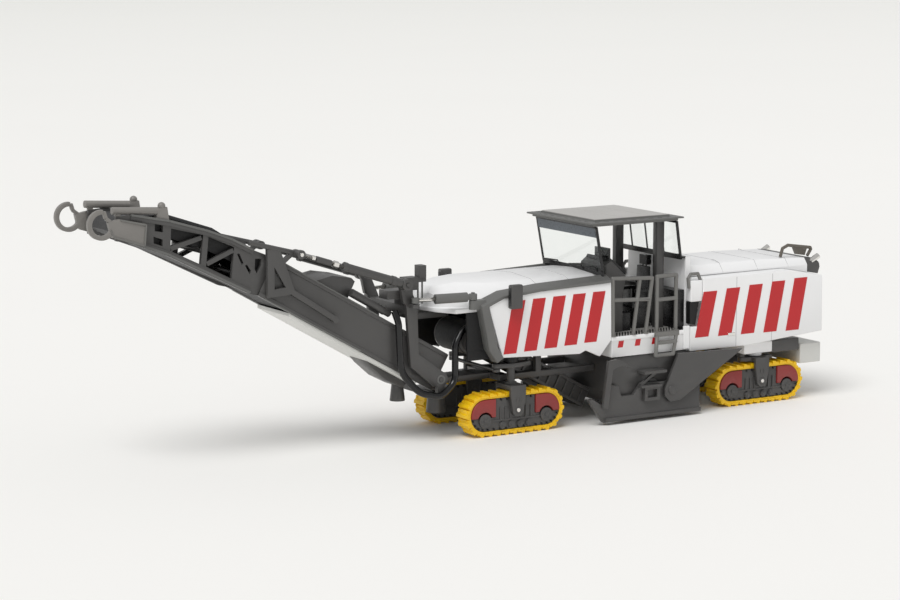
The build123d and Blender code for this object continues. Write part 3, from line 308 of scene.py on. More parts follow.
def strip(bm, start, end, width, y):
    """A flat bar in a plane of constant Y, from point to point in X and Z."""
    run_x, run_z = end[0] - start[0], end[1] - start[1]
    length = hypot(run_x, run_z)
    side_x, side_z = -run_z / length * width / 2, run_x / length * width / 2
    outline = [
        (start[0] + side_x, start[1] + side_z),
        (end[0] + side_x, end[1] + side_z),
        (end[0] - side_x, end[1] - side_z),
        (start[0] - side_x, start[1] - side_z),
    ]
    return plate(bm, outline, y)


def ring(bm, outer, inner, y):
    """A flat ring between two outlines in X and Z."""
    edges = []
    for outline in (outer, inner):
        verts = [bm.verts.new((px, y[0], pz)) for px, pz in outline]
        edges += [bm.edges.new(pair) for pair in zip(verts, verts[1:] + verts[:1])]
    band = bmesh.ops.bridge_loops(bm, edges=edges)["faces"]
    raised = bmesh.ops.extrude_face_region(bm, geom=band)["geom"]
    top = [item for item in raised if isinstance(item, bmesh.types.BMVert)]
    bmesh.ops.translate(bm, verts=top, vec=(0, y[1] - y[0], 0))


def circle_points(x, z, radius, count=32):
    """The corners of a round outline in X and Z."""
    turns = [2 * pi * number / count for number in range(count)]
    return [(x + radius * cos(turn), z + radius * sin(turn)) for turn in turns]


def from_node(bm, node):
    """The node's own solids, drawn in millimetres and with flat areas joined up."""
    old = set(bm.verts)
    bm.from_mesh(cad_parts[node].data)
    verts = [v for v in bm.verts if v not in old]
    bmesh.ops.scale(bm, verts=verts, vec=(1000, 1000, 1000))
    bmesh.ops.translate(bm, verts=verts, vec=(origin_x, 0, 0))
    bmesh.ops.remove_doubles(bm, verts=verts, dist=0.0005)
    verts = [v for v in bm.verts if v not in old]
    edges = [e for e in bm.edges if e.verts[0] not in old]
    bmesh.ops.dissolve_limit(
        bm, angle_limit=radians(0.6), use_dissolve_boundaries=False, verts=verts, edges=edges, delimit=set()
    )


def both_sides(bm):
    """Adds the mirror image on the other side of the middle."""
    geometry = bm.verts[:] + bm.edges[:] + bm.faces[:]
    bmesh.ops.mirror(bm, geom=geometry, matrix=Matrix.Identity(4), merge_dist=-1.0, axis="Y")


def piece(name, bm, material, body, bevel=0.0, segments=2, replaces=(), angle=35.0, recalculate=True):
    """Turns a drawing into a piece that rides on a body."""
    if recalculate:
        bmesh.ops.recalc_face_normals(bm, faces=bm.faces)
    bmesh.ops.translate(bm, verts=bm.verts, vec=(-origin_x, 0, 0))
    bmesh.ops.scale(bm, verts=bm.verts, vec=(0.001, 0.001, 0.001))
    mesh = bpy.data.meshes.new(name)
    bm.to_mesh(mesh)
    bm.free()
    for polygon in mesh.polygons:
        polygon.use_smooth = True
    mesh.materials.append(material)
    made = bpy.data.objects.new(name, mesh)
    bpy.context.scene.collection.objects.link(made)
    if bevel:
        edge = made.modifiers.new("soft edges", "BEVEL")
        edge.width = bevel / 1000
        edge.segments = segments
        edge.limit_method = "ANGLE"
        edge.angle_limit = radians(angle)
        edge.use_clamp_overlap = True
        edge.harden_normals = True
    else:
        mesh.set_sharp_from_angle(angle=radians(angle))
    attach(made, body)
    if replaces:
        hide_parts(*replaces)
    return made


def moulded(node, material, body, bevel=0.12, segments=2, angle=35.0, extra=None):
    """The node's shape with softened edges and any extra detail drawn on it."""
    bm = bmesh.new()
    from_node(bm, node)
    if extra:
        extra(bm)
    name = node + "_moulding"
    return piece(name, bm, material, body, bevel, segments, (node,), angle, recalculate=bool(extra))


# Tracks
def loop_place(distance):
    """Where a shoe sits on the loop, and how far it is turned, for a distance along it."""
    side, curve = 2 * track_straight, pi * pad_r
    axis_z = track_height / 2
    distance %= loop_length
    if distance < side:
        return -track_straight + distance, axis_z + pad_r, 0.0
    distance -= side
    if distance < curve:
        turn = distance / pad_r
        return track_straight + pad_r * sin(turn), axis_z + pad_r * cos(turn), turn
    distance -= curve
    if distance < side:
        return track_straight - distance, axis_z - pad_r, pi
    turn = (distance - side) / pad_r
    return -track_straight - pad_r * sin(turn), axis_z - pad_r * cos(turn), pi + turn


def loop_outline(radius, count=14):
    """The loop's line at a radius from its axis."""
    points = []
    for end, start in ((track_straight, pi / 2), (-track_straight, 3 * pi / 2)):
        for step in range(count + 1):
            turn = start - pi * step / count
            points.append((end + radius * cos(turn), track_height / 2 + radius * sin(turn)))
    return points


def draw_track(bm, x, y):
    """One track: a flat band under separate shoes, each with a wedge-shaped lug and cut ends."""
    half = track_width / 2
    pitch = loop_length / shoe_count
    ring(bm, loop_outline(pad_r - 0.3), loop_outline(band_inner_r), (-half + 0.15, half - 0.15))
    for shoe in range(shoe_count):
        place_x, place_z, turn = loop_place((shoe + 0.5) * pitch)
        fresh = box(bm, (-0.46 * pitch, 0.46 * pitch), (-half, half), (-0.42, 0.02))
        lug = box(bm, (-0.12 * pitch, 0.4 * pitch), (-half + 0.05, half - 0.05), (0.0, lug_height))
        for vert in lug:
            if vert.co.z > lug_height / 2 and vert.co.x < 0:
                vert.co.x += 0.18 * pitch
        fresh += lug
        for side in (-1, 1):
            y_range = (side * half * 0.62, side * half * 0.9)
            fresh += box(bm, (-0.4 * pitch, -0.02 * pitch), y_range, (0.0, 0.16))
        turned = Matrix.Translation((place_x, 0, place_z)) @ Matrix.Rotation(turn, 4, "Y")
        bmesh.ops.transform(bm, matrix=turned, verts=fresh)
    bmesh.ops.translate(bm, verts=bm.verts, vec=(x, y, 0))


def track_hub(bm, x, face, side):
    """A hub with its ring of bolts, on one face of a track frame."""
    across(bm, x, hub_z, 1.42, (face - side * 0.3, face + side * 0.04), 36)
    across(bm, x, hub_z, 0.42, (face, face + side * 0.22), 20)
    for bolt in range(hub_bolts):
        turn = 2 * pi * bolt / hub_bolts
        bolt_x, bolt_z = x + bolt_circle_r * cos(turn), hub_z + bolt_circle_r * sin(turn)
        across(bm, bolt_x, bolt_z, 0.12, (face, face + side * 0.12), 8)


def frame_details(bm, x, y):
    """Rollers, hubs, ribs, fork pads and pin bosses on both faces of a track frame."""
    for side in (-1, 1):
        guard_face = y + side * guard_half
        for number in range(roller_count):
            roller_x = x + (number - 1.5) * roller_pitch
            across(bm, roller_x, roller_z, 0.62, (guard_face - side * 0.1, guard_face + side * 0.1))
            across(bm, roller_x, roller_z, 0.3, (guard_face, guard_face + side * 0.22), 16)
        for end in (-1, 1):
            track_hub(bm, x + end * track_straight, guard_face, side)
        rail_face = y + side * frame_half
        box(bm, (x - 8.3, x + 8.3), (rail_face - side * 0.1, rail_face + side * 0.22), (3.1, 3.4))
        for number in (-3, -2, -1, 1, 2, 3):
            rib_x = x + number * frame_rib_pitch
            rib_depth = (rail_face - side * 0.1, rail_face + side * 0.28)
            box(bm, (rib_x - 0.13, rib_x + 0.13), rib_depth, (3.3, 5.9))
        fork_face = y + side * fork_half
        for pad_x in (x - 0.42, x + 0.42):
            pad_depth = (fork_face - side * 0.1, fork_face + side * 0.1)
            box(bm, (pad_x - 0.14, pad_x + 0.14), pad_depth, (6.9, 7.8))
        across(bm, x, pin_z, 0.72, (fork_face - side * 0.05, fork_face + side * 0.1), 28)


def chain_links(bm, x, y):
    """The dark links that show between the track and its frame, on both faces."""
    for side in (-1, 1):
        face = y + side * frame_half
        for number in range(link_count):
            place_x, place_z, turn = loop_place(loop_length * (number + 0.5) / link_count)
            link_x = x + place_x - link_inset * sin(turn)
            link_z = place_z - link_inset * cos(turn)
            across(bm, link_x, link_z, 0.2, (face - side * 0.2, face + side * 0.3), 10)


def track_unit(corner, x, side):
    """One track unit: its loop, frame, guards, pin caps and links, and a collar in front."""
    y = side * gauge / 2
    unit = "unit_" + corner
    drawing = bmesh.new()
    draw_track(drawing, x, y)
    loop_node = "track_" + corner
    piece("track_belt_" + corner, drawing, yellow, unit, bevel=0.05, segments=1, replaces=(loop_node,))
    frame_node = "track_frame_" + corner
    moulded(frame_node, charcoal, unit, bevel=0.07, extra=lambda bm: frame_details(bm, x, y))
    moulded("guards_" + corner, guard_red, unit, bevel=0.12)
    drawing = bmesh.new()
    for end in (-1, 1):
        across(drawing, x, pin_z, 0.42, (y + end * 2.9, y + end * 3.18), 28)
    piece("fork_pin_caps_" + corner, drawing, chrome, unit, bevel=0.08)
    if corner.startswith("front"):
        drawing = bmesh.new()
        rod(drawing, (x, y, 10.3), (x, y, 10.75), 1.25, 32)
        piece("column_collar_" + corner, drawing, charcoal, unit, bevel=0.1)
    drawing = bmesh.new()
    chain_links(drawing, x, y)
    piece("chain_links_" + corner, drawing, black_and_painted_shade, unit)


for corner_name, column_x, column_side in corners:
    track_unit(corner_name, column_x, column_side)
for end_name in ("front", "rear"):
    moulded("tie_rod_" + end_name, charcoal, "tie_" + end_name, bevel=0.05)


# Bodywork with softened edges
plain_nodes = [
    # node, finish, edge radius
    ("front_panels", white, 0.14),
    ("hood_trims", steel_grey, 0.2),
    ("front_hood", white, 0.3),
    # The bay's back wall in dull black: painted shade.
    ("bulkhead", black_and_painted_shade, 0.1),
    ("chassis", charcoal, 0.12),
    ("lamp_boxes", charcoal, 0.3),
    ("platform", white, 0.2),
    ("rear_body", white, 0.28),
    ("engine_hood", white, 0.4),
    ("cab_wall", white, 0.14),
    ("side_boxes", white, 0.25),
    ("cab_roof", steel_grey, 0.12),
    ("cab_posts", charcoal, 0.22),
    ("console", charcoal, 0.25),
    ("seat", black, 0.3),
    ("railings", rail_grey, 0.0),
    ("ladders", rail_grey, 0.0),
    ("rear_handrail", handle_grey, 0.0),
    ("drum_housing", charcoal, 0.15),
    ("ski_plates", charcoal, 0.1),
    ("swing_plates", charcoal, 0.12),
    ("side_steps", charcoal, 0.07),
    ("rear_crosshead", white, 0.2),
    ("rear_box", charcoal, 0.25),
    ("rear_bumper", pale, 0.2),
    ("rear_grille", charcoal, 0.12),
    ("primary_conveyor", charcoal, 0.15),
    ("windscreen", glazing, 0.0),
    ("rear_window", glazing, 0.0),
]
for node_name, finish, radius in plain_nodes:
    moulded(node_name, finish, "root", radius)

moving_nodes = [
    # node, body, finish, edge radius
    ("milling_drum", "drum", charcoal, 0.06),
    ("slew_frame", "slewing", charcoal, 0.14),
    ("conveyor_rear", "conveyor", charcoal, 0.1),
    ("conveyor_front", "conveyor", charcoal, 0.08),
    ("tip_fittings", "conveyor", light_grey, 0.1),
    ("belt", "conveyor", belt_rubber, 0.0),
    ("under_cover", "conveyor", pale, 0.12),
    ("belly_guard", "conveyor", charcoal, 0.12),
    ("a_brackets", "conveyor", charcoal, 0.1),
    ("suction_duct", "conveyor", charcoal, 0.14),
    ("lift_barrels", "lift_barrel", charcoal, 0.12),
    ("lift_rods", "lift_rod", chrome, 0.0),
    ("slew_barrel_left", "slew_barrel_body_left", steel_grey, 0.12),
    ("slew_barrel_right", "slew_barrel_body_right", steel_grey, 0.12),
    ("slew_rod_left", "slew_rod_body_left", chrome, 0.0),
    ("slew_rod_right", "slew_rod_body_right", chrome, 0.0),
]
for node_name, body_name, finish, radius in moving_nodes:
    moulded(node_name, finish, body_name, radius)


def tuck_end(bm):
    """Draws the hose's upper end in a little, clear of the bay's cheek."""
    for vert in bm.verts:
        if vert.co.x < 10.0 and vert.co.z > 18:
            vert.co.y -= 0.03 * (10.0 - vert.co.x)


moulded("hose", hose_black, "slewing", 0.0, extra=tuck_end)


# Details on the bodywork
def slanted_bars(bm, front, rear, low, high, width, gap):
    """A row of leaning bars between two X values, its lower and upper lines given at both ends."""
    lean = 2.2
    start = front
    while start - width > rear:
        share = (front - start) / (front - rear)
        bottom = low[0] + (low[1] - low[0]) * share
        top = high[0] + (high[1] - high[0]) * share
        outline = [
            (start + lean, bottom),
            (start, top),
            (start - width, top),
            (start - width + lean, bottom),
        ]
        plate(bm, outline, (half_width - 0.05, half_width + 0.05))
        start -= width + gap


def livery_bars(bm):
    """Red bars on the side panels, with three small ones on the platform's skirt."""
    slanted_bars(bm, front=2.2, rear=-22.1, low=(17.4, 18.2), high=(28.3, 28.7), width=3.1, gap=1.9)
    slanted_bars(bm, front=-46.6, rear=-75.5, low=(16.6, 15.9), high=(26.4, 27.7), width=3.6, gap=2.6)
    for bar_x in (-24.6, -29.0, -33.4):
        outline = [(bar_x + 0.3, 16.2), (bar_x, 17.6), (bar_x - 1.3, 17.6), (bar_x - 1.0, 16.2)]
        plate(bm, outline, (half_width - 0.25, half_width - 0.16))
    both_sides(bm)


def rear_hood_top(x):
    """The height of the rear hood's top along the machine."""
    return min(32.1, 32.2 - (-49.5 - x) / 27.95)


def body_seams(bm):
    """Thin lines where the side, hood and rear panels meet."""
    for seam_x, seam_low in ((-55.5, 13.8), (-65.3, 14.3)):
        box(bm, (seam_x - 0.06, seam_x + 0.06), (half_width - 0.1, half_width + 0.02), (seam_low, 29.0))
    for seam_x in (-54.0, -63.5, -72.0):
        high_z = rear_hood_top(seam_x)
        bend = [(seam_x, 9.6, 29.7), (seam_x, 8.2, 31.6), (seam_x, 6.6, high_z), (seam_x, 0, high_z)]
        tube(bm, bend, 0.06, 8)
    for seam_x in (-5.5, -14.0):
        tube(bm, [(seam_x, 10.3, 30.66), (seam_x, 7.3, 31.7), (seam_x, 0, 32.2)], 0.06, 8)
    panel_edge, panel_low, panel_high = 9.4, 16.4, 26.4
    for seam_z in (panel_low, panel_high):
        box(bm, (rear_x - 0.02, rear_x + 0.3), (0, panel_edge), (seam_z - 0.06, seam_z + 0.06))
    box(bm, (rear_x - 0.02, rear_x + 0.3), (panel_edge - 0.1, panel_edge + 0.02), (panel_low, panel_high))
    both_sides(bm)


def bay_shade_strips(bm):
    """Dull black strips low on the cheeks of the conveyor's bay: painted shade."""
    box(bm, (2.0, 11.7), (9.85, 10.35), (16.3, 18.7))
    both_sides(bm)


def lamp_box_lenses(bm):
    """Dark faces on the front of the corner lamp boxes."""
    box(bm, (3.6, 3.78), (13.45, 14.35), (27.5, 31.3))
    both_sides(bm)


def body_latches(bm):
    """Plated latches low on the rear side panels."""
    box(bm, (-55.2, -53.3), (half_width - 0.05, half_width + 0.14), (16.2, 16.9))
    both_sides(bm)


def platform_ribs(bm):
    """White ribs at the rear ends of the platform's skirts."""
    box(bm, (-42.9, -41.3), (half_width - 0.3, half_width + 0.15), (14.4, 19.4))
    both_sides(bm)


def side_recess_shade(bm):
    """Dull black plates in the recesses between the platform and the rear side panels: painted shade."""
    plate(bm, [(-43.25, 24.35), (-45.7, 24.35), (-44.8, 19.3), (-43.35, 19.6)], (10.7, 12.2))
    both_sides(bm)


def side_box_rails(bm):
    """Bent hand rails over the side boxes."""
    bend = [(-43.1, 27.4), (-42.8, 29.5), (-43.5, 30.4), (-45.4, 30.4), (-46.1, 28.9)]
    tube(bm, [(px, 12.0, pz) for px, pz in bend], 0.36)
    both_sides(bm)


# Cab glass, canopy and operator's place
def pane_bar(bm, line, y, share, depth):
    """A flat bar on a leaning pane, between two Y values and two shares of its height."""
    (low_x, low_z), (high_x, high_z) = line
    for vert in box(bm, depth, y, share):
        height = vert.co.z
        vert.co.x += low_x + (high_x - low_x) * height
        vert.co.z = low_z + (high_z - low_z) * height


def pane_point(line, y, share, out):
    """A point just off a leaning pane."""
    (low_x, low_z), (high_x, high_z) = line
    return (low_x + (high_x - low_x) * share + out, y, low_z + (high_z - low_z) * share)


def pane_frame(bm, line, low, high):
    """The thin frame round a pane, with the shares where its lower and upper bars end."""
    edge = pane_half + 0.06
    pane_bar(bm, line, (-edge, edge), low, (-0.3, 0.3))
    pane_bar(bm, line, (-edge, edge), high, (-0.3, 0.3))
    for side in (-1, 1):
        y_range = sorted((side * (edge - 0.36), side * edge))
        pane_bar(bm, line, y_range, (low[0], 1.0), (-0.3, 0.3))


def windscreen_frame(bm):
    """The windscreen's frame with its curved sill and three wipers."""
    pane_frame(bm, windscreen_line, (-0.02, 0.035), (0.965, 1.0))
    sill_outline = [(-11.3, 32.5), (11.3, 32.5), (11.3, 31.3), (7.4, 31.7), (0, 32.1)]
    sill_outline += [(-7.4, 31.7), (-11.3, 31.3)]
    upright(bm, sill_outline, (-21.45, -21.0))
    for pivot_y, tip_y in ((-4.6, -10.2), (4.4, -0.6), (9.6, 5.2)):
        pivot = pane_point(windscreen_line, pivot_y, -0.02, 0.35)
        elbow = pane_point(windscreen_line, pivot_y - 0.5, 0.07, 0.5)
        tube(bm, [pivot, elbow, pane_point(windscreen_line, tip_y, 0.045, 0.42)], 0.16, 10)


def windscreen_visor(bm):
    """A plain grey strip along the top of the windscreen."""
    pane_bar(bm, windscreen_line, (-10.9, 10.9), (0.76, 0.965), (0.2, 0.28))


def rear_window_frame(bm):
    """The rear window's frame with its upright bars and the shelf under it."""
    pane_frame(bm, rear_window_line, (-0.1, 0.05), (0.94, 1.0))
    for bar_y in (-6.2, -0.6, 5.4):
        pane_bar(bm, rear_window_line, (bar_y - 0.12, bar_y + 0.12), (0.0, 1.0), (-0.28, 0.28))
    box(bm, (-43.3, -41.0), (-10.5, 10.5), (33.7, 34.1))


def roof_highlight_panels(bm):
    """Three raised panels on the canopy's top, in a lighter grey: painted highlight where light falls from
    above.
    """
    panel_edges = (-38.9, -33.7, -27.1, -19.8)
    for rear_edge, front_edge in zip(panel_edges, panel_edges[1:]):
        box(bm, (rear_edge + 0.08, front_edge - 0.08), (-10.0, 10.0), (43.3, 43.48))


def roof_notch_shade(bm):
    """Black slivers along the canopy's edges: painted shade of its notches."""
    notch_z = (42.95, 43.03)
    for number in range(9):
        notch_x = -38.6 + 2.3 * number
        box(bm, (notch_x, notch_x + 1.1), (11.2, 11.36), notch_z)
    for number in range(4):
        notch_y = 0.8 + 2.5 * number
        box(bm, (-18.5, -18.34), (notch_y, notch_y + 1.2), notch_z)
    both_sides(bm)


def operator_controls(bm):
    """Console top, screen stand, headrest and armrests with levers, and dark blocks below them."""
    strip(bm, (-25.2, 34.5), (-29.6, 31.1), 0.7, (-0.4, 7.6))
    box(bm, (-26.6, -26.0), (1.4, 6.2), (33.6, 36.5))
    rod(bm, (-26.2, 3.8, 32.6), (-26.2, 3.8, 34.0), 0.5)
    box(bm, (-37.5, -36.2), (3.3, 5.9), (32.2, 34.3))
    for stay_y in (4.0, 5.2):
        rod(bm, (-36.6, stay_y, 31.6), (-36.8, stay_y, 32.6), 0.16, 12)
    for arm_y in (1.6, 7.6):
        box(bm, (-36.2, -32.2), (arm_y - 0.4, arm_y + 0.4), (26.6, 27.3))
        box(bm, (-36.2, -35.4), (arm_y - 0.3, arm_y + 0.3), (24.4, 26.8))
        tube(bm, [(-32.8, arm_y, 27.2), (-32.6, arm_y, 29.2)], 0.16, 10)
        ball(bm, (-32.6, arm_y, 29.3), 0.42)
    box(bm, (-36.3, -32.6), (2.6, 6.6), (floor_z, 23.4))
    box(bm, (-30.8, -28.5), (0.4, 7.8), (floor_z, 22.6))
    box(bm, (-43.0, -40.4), (-10.2, 10.4), (floor_z, 26.9))


def console_screen(bm):
    """The grey face of the console's screen."""
    box(bm, (-26.68, -26.55), (1.8, 5.8), (34.0, 36.1))


def platform_grating(bm):
    """Three rows of slanted slats on the platform, leaning to and fro."""
    lean, slat_width, slat_pitch = 2.6, 0.34, 0.72
    for low_y, high_y, way in ((1.2, 4.9, 1), (4.9, 8.6, -1), (8.6, 12.3, 1)):
        for number in range(24):
            start = -42.4 + slat_pitch * number + (0 if way > 0 else lean)
            end = start + way * lean
            outline = [(start, low_y), (start + slat_width, low_y)]
            outline += [(end + slat_width, high_y), (end, high_y)]
            deck(bm, outline, (floor_z - 0.05, floor_z + 0.17))
    both_sides(bm)


def platform_pan_shade(bm):
    """The dull black pan under the slats: painted shade between them."""
    outline = [(-42.7, 1.0), (-23.0, 1.0), (-23.0, 12.35), (-42.7, 12.35)]
    deck(bm, outline, (floor_z - 0.1, floor_z + 0.04))
    both_sides(bm)


def railing_feet(bm):
    """Round feet of the railings and the treads beside them."""
    for foot_x in (bay_front_x - 0.6, -28.4, -31.6, -34.5, -39.5):
        rod(bm, (foot_x, rail_y, floor_z), (foot_x, rail_y, floor_z + 0.3), 0.66, 20)
    for number in range(7):
        tread_x = -39.2 + 0.82 * number
        outline = [(tread_x, 12.7), (tread_x + 0.3, 12.7), (tread_x + 0.7, 13.5), (tread_x + 0.4, 13.5)]
        deck(bm, outline, (floor_z + 0.15, floor_z + 0.32))
    both_sides(bm)


# Rear pipe ends
def pipe_ends(bm):
    """Plated pipes that leave the rear of the hood."""
    rod(bm, (rear_x + 0.7, pipe_y, 30.25), (rear_x - 1.5, pipe_y, 31.4), 0.6, 28, 0.68)
    both_sides(bm)


def pipe_mouth_shade(bm):
    """Dull black discs in the rear pipes' openings: painted shade."""
    rod(bm, (rear_x - 1.4, pipe_y, 31.35), (rear_x - 1.53, pipe_y, 31.42), 0.5, 24)
    both_sides(bm)


# Inner conveyor
def inner_point(distance, height):
    """A point beside the inner conveyor: along it from its foot and up from its middle line."""
    place = conveyor_foot + conveyor_line * distance + conveyor_up * height
    return (place.x, place.z)


def inner_belt(bm):
    """The inner conveyor's belt and the drum that it runs over."""
    across(bm, *head_drum, 3.48, (-4.6, 4.6), 44)
    strip(bm, inner_point(0.4, 0), inner_point(31.0, 0), 4.4, (-4.4, 4.4))


def inner_conveyor_ribs(bm):
    """Long edges, cross ribs and a round cap on both walls of the inner conveyor."""
    for height in (-1.75, 1.75):
        strip(bm, inner_point(0.2, height), inner_point(29.4, height), 0.6, (4.7, 5.2))
    for number in range(12):
        rib_place = 1.6 + 2.3 * number
        strip(bm, inner_point(rib_place, -1.9), inner_point(rib_place, 1.9), 0.5, (4.7, 5.1))
    ring(bm, circle_points(*head_drum, 3.2), circle_points(*head_drum, 2.7), (5.05, 5.3))
    across(bm, 6.8, 19.7, 1.3, (5.05, 5.35), 32)
    both_sides(bm)


# Discharge conveyor
def belt_skirts(bm):
    """Black skirts behind the truss of the conveyor's front part."""
    upper = [(56.6, 40.6), (58.6, 41.4), (63.4, 43.7), (68.6, 45.7), (76.6, 48.1), (80.4, 48.9)]
    lower = [(80.4, 44.6), (77.6, 43.8), (77.2, 45.9), (69.0, 43.0), (63.2, 40.2)]
    lower += [(60.8, 38.4), (56.6, 36.6)]
    plate(bm, upper + lower, (5.6, 5.75))
    both_sides(bm)


def tip_rims(bm):
    """Raised rims round the side plates at the conveyor's tip."""
    for start_point, end_point in (
        ((82.5, 44.8), (88.7, 46.8)),
        ((88.7, 46.8), (89.3, 48.1)),
        ((82.2, 48.7), (87.3, 49.95)),
        ((82.35, 44.8), (82.0, 48.8)),
    ):
        strip(bm, start_point, end_point, 0.34, (8.1, 8.36))
    both_sides(bm)


def trough_point(distance, drop=0.0):
    """A point on the straight trough, counted from the tail's upper corner."""
    along_x, along_z = cos(radians(conveyor_angle)), sin(radians(conveyor_angle))
    return (tail[0] + distance * along_x + drop * along_z, tail[1] + distance * along_z - drop * along_x)


def conveyor_highlight_strips(bm):
    """Lighter grey raised edges on the front truss's chords and on the trough's walls: painted highlight
    along them.
    """
    front_top = [(58.8, 42.2), (63.4, 44.6), (68.6, 46.6), (76.6, 49.0), (84.6, 50.6)]
    front_low = [(84.6, 45.5), (77.0, 42.6), (59.6, 33.9)]
    for chord in (front_top, front_low):
        for start_point, end_point in zip(chord, chord[1:]):
            strip(bm, start_point, end_point, 0.45, (conveyor_half - 0.4, conveyor_half + 0.5))
    for edge_drop in (0.05, conveyor_depth - 0.1):
        start_point, end_point = trough_point(19.5, edge_drop), trough_point(44.0, edge_drop)
        strip(bm, start_point, end_point, 0.3, (conveyor_half - 0.4, conveyor_half + 0.42))
    both_sides(bm)


def tip_hooks(bm):
    """Small bent hooks over the conveyor's tip."""
    for start_point, end_point in (((90.5, 51.7), (90.1, 50.4)), ((90.1, 50.4), (89.1, 49.6))):
        strip(bm, start_point, end_point, 0.7, (7.4, 8.1))
    both_sides(bm)


# Slewing frame
def slew_frame_washers(bm):
    """Washers on the slewing frame's pivot arms, and two short cables on its left."""
    ring(bm, circle_points(*lift_pin, 0.95), circle_points(*lift_pin, 0.55), (8.3, 8.48))
    both_sides(bm)
    for cable_x in (19.4, 20.4):
        rod(bm, (cable_x, 5.2, 28.2), (cable_x, 5.2, 33.0), 0.18, 12)


def work_lamp_lens(bm):
    """The clear front of the work lamp."""
    box(bm, (18.9, 19.05), (4.5, 5.9), (33.9, 35.9))


# Cylinders
def lift_place(share):
    """A point on the left lift cylinder's line at rest, by its share from pin to pin."""
    rear = Vector((lift_rear_pin[0], lift_y, lift_rear_pin[1]))
    run = Vector((lift_front_pin[0] - lift_rear_pin[0], 0, lift_front_pin[1] - lift_rear_pin[1]))
    return rear + run * share


def lift_rod_eyes(bm):
    """The rod ends of the lift cylinders."""
    across(bm, *lift_front_pin, 0.92, (lift_y - 0.5, lift_y + 0.5), 28)
    rod(bm, lift_place(0.72), lift_place(0.86), 0.62, 24)
    both_sides(bm)


def lift_rod_nuts(bm):
    """Plated nuts on the lift cylinders' rods."""
    rod(bm, lift_place(0.655), lift_place(0.7), 0.74, 6)
    rod(bm, lift_place(0.87), lift_place(0.9), 0.58, 6)
    both_sides(bm)


def lift_barrel_bands(bm):
    """Bands near both ends of the lift cylinders' barrels."""
    rod(bm, lift_place(0.57), lift_place(0.603), 1.02, 28)
    rod(bm, lift_place(0.11), lift_place(0.15), 1.02, 28)
    both_sides(bm)


def slew_rod_eye(bm, side):
    """The eye at the front end of a slewing cylinder's rod."""
    eye_x, eye_y = slew_front_pin
    low, high = slew_cylinder_z - 0.54, slew_cylinder_z + 0.54
    rod(bm, (eye_x, side * eye_y, low), (eye_x, side * eye_y, high), 0.8, 28)


drawn_pieces = [
    # name, drawing, finish, body, edge radius, edge steps
    ("livery_bars", livery_bars, livery_red, "root", 0.0, 2),
    ("body_seams", body_seams, seam_grey, "root", 0.0, 2),
    ("bay_shade_strips", bay_shade_strips, black_and_painted_shade, "root", 0.1, 2),
    ("lamp_box_lenses", lamp_box_lenses, black, "root", 0.08, 2),
    ("body_latches", body_latches, chrome, "root", 0.1, 2),
    ("platform_ribs", platform_ribs, white, "root", 0.15, 2),
    ("side_recess_shade", side_recess_shade, black_and_painted_shade, "root", 0.1, 2),
    ("side_box_rails", side_box_rails, rail_grey, "root", 0.0, 2),
    ("windscreen_frame", windscreen_frame, black, "root", 0.05, 1),
    ("windscreen_visor", windscreen_visor, screen_grey, "root", 0.0, 2),
    ("rear_window_frame", rear_window_frame, black, "root", 0.05, 1),
    ("roof_highlight_panels", roof_highlight_panels, pale_and_highlight_grey, "root", 0.08, 2),
    ("roof_notch_shade", roof_notch_shade, black, "root", 0.0, 2),
    ("operator_controls", operator_controls, black, "root", 0.12, 2),
    ("console_screen", console_screen, screen_grey, "root", 0.0, 2),
    ("platform_grating", platform_grating, pale_and_highlight_grey, "root", 0.0, 2),
    ("platform_pan_shade", platform_pan_shade, black_and_painted_shade, "root", 0.0, 2),
    ("railing_feet", railing_feet, rail_grey, "root", 0.04, 1),
    ("pipe_ends", pipe_ends, chrome, "root", 0.06, 2),
    ("pipe_mouth_shade", pipe_mouth_shade, black_and_painted_shade, "root", 0.0, 2),
    ("inner_belt", inner_belt, black_and_painted_shade, "root", 0.05, 2),
    ("inner_conveyor_ribs", inner_conveyor_ribs, charcoal, "root", 0.08, 2),
    ("belt_skirts", belt_skirts, black_and_painted_shade, "conveyor", 0.0, 2),
    ("tip_rims", tip_rims, rail_grey, "conveyor", 0.06, 2),
    ("conveyor_highlight_strips", conveyor_highlight_strips, steel_grey, "conveyor", 0.08, 2),
    ("tip_hooks", tip_hooks, light_grey, "conveyor", 0.08, 2),
    ("slew_frame_washers", slew_frame_washers, steel_grey, "slewing", 0.04, 2),
    ("work_lamp_lens", work_lamp_lens, lamp_clear, "slewing", 0.05, 2),
    ("lift_rod_eyes", lift_rod_eyes, charcoal, "lift_rod", 0.06, 2),
    ("lift_rod_nuts", lift_rod_nuts, chrome, "lift_rod", 0.04, 2),
    ("lift_barrel_bands", lift_barrel_bands, charcoal, "lift_barrel", 0.06, 2),
]
for piece_name, draw, finish, body_name, radius, steps in drawn_pieces:
    drawing = bmesh.new()
    draw(drawing)
    piece(piece_name, drawing, finish, body_name, radius, steps)

for side_name, side in (("left", 1), ("right", -1)):
    drawing = bmesh.new()
    slew_rod_eye(drawing, side)
    piece("slew_rod_eye_" + side_name, drawing, steel_grey, "slew_rod_body_" + side_name, 0.05)


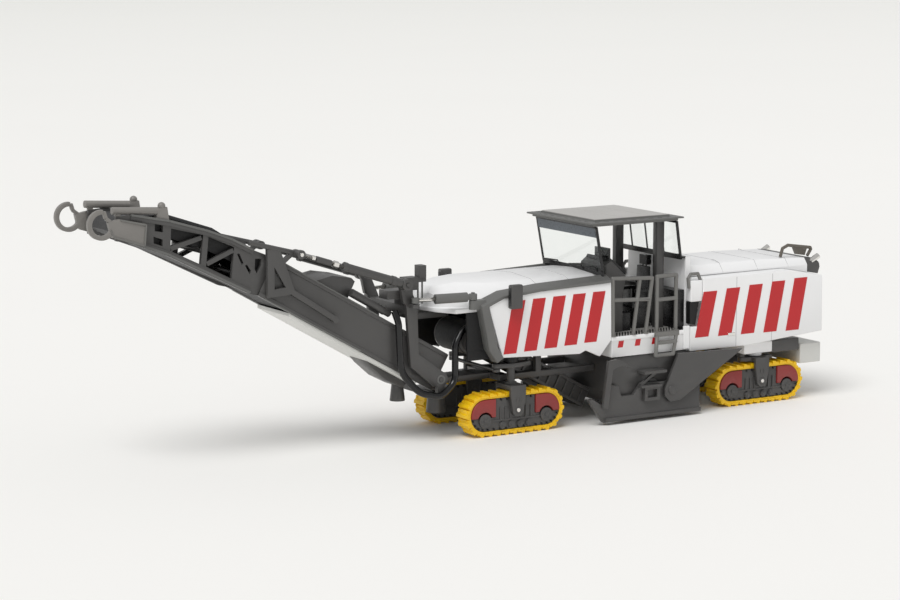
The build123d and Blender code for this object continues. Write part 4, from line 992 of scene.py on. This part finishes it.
# Stage
def studio_paper():
    """Pale paper, slightly darker far behind the model: painted shade where the light falls off."""
    material = finish_of("floor_paper", (247, 246, 243), 0.8, tint=0.004, cloud=6.0)
    nodes, links = material.node_tree.nodes, material.node_tree.links
    apart = nodes.new("ShaderNodeSeparateXYZ")
    links.new(nodes["Texture Coordinate"].outputs["Object"], apart.inputs[0])
    # Painted shade: the paper's colour darkens with distance behind the model.
    depth = nodes.new("ShaderNodeMapRange")
    depth.inputs["From Min"].default_value = -0.3
    depth.inputs["From Max"].default_value = -2.4
    links.new(apart.outputs["Y"], depth.inputs["Value"])
    mix = nodes.new("ShaderNodeMix")
    mix.data_type = "RGBA"
    mix.inputs[7].default_value = (*linear(233, 233, 229), 1)
    links.new(depth.outputs["Result"], mix.inputs[0])
    links.new(nodes["Mix"].outputs[2], mix.inputs[6])
    links.new(mix.outputs[2], nodes["Principled BSDF"].inputs["Base Color"])
    return material


def stage_floor():
    """A wide pale floor that the camera sees evenly."""
    bm = bmesh.new()
    bmesh.ops.create_grid(bm, x_segments=1, y_segments=1, size=12.0)
    mesh = bpy.data.meshes.new("studio_floor")
    bm.to_mesh(mesh)
    bm.free()
    floor = bpy.data.objects.new("studio_floor", mesh)
    bpy.context.scene.collection.objects.link(floor)
    mesh.materials.append(studio_paper())


def studio_light():
    """Even sky light and one broad soft lamp from the upper left."""
    world = bpy.data.worlds.new("studio_sky")
    bpy.context.scene.world = world
    world.use_nodes = True
    sky = world.node_tree.nodes["Background"]
    sky.inputs["Color"].default_value = (1.0, 1.0, 1.0, 1.0)
    sky.inputs["Strength"].default_value = 0.54
    lamp = bpy.data.lights.new("key_lamp", "SUN")
    lamp.energy = 1.75
    lamp.angle = radians(32)
    holder = bpy.data.objects.new("key_lamp", lamp)
    holder.rotation_euler = Vector((-0.55, -0.35, -1.0)).to_track_quat("-Z", "Y").to_euler()
    bpy.context.scene.collection.objects.link(holder)


def photo_camera():
    """The camera at the photograph's own place and angle."""
    data = bpy.data.cameras.new("photo_camera")
    data.lens = 104.08
    data.sensor_width = 36.0
    data.clip_start = 0.01
    data.clip_end = 30.0
    holder = bpy.data.objects.new("photo_camera", data)
    holder.location = (0.28196, 0.45505, 0.10915)
    look = Vector((-0.51649, -0.84283, -0.15126))
    holder.rotation_euler = look.to_track_quat("-Z", "Y").to_euler()
    bpy.context.scene.collection.objects.link(holder)
    bpy.context.scene.camera = holder


stage_floor()
studio_light()
photo_camera()
bpy.context.scene.view_settings.view_transform = "Standard"
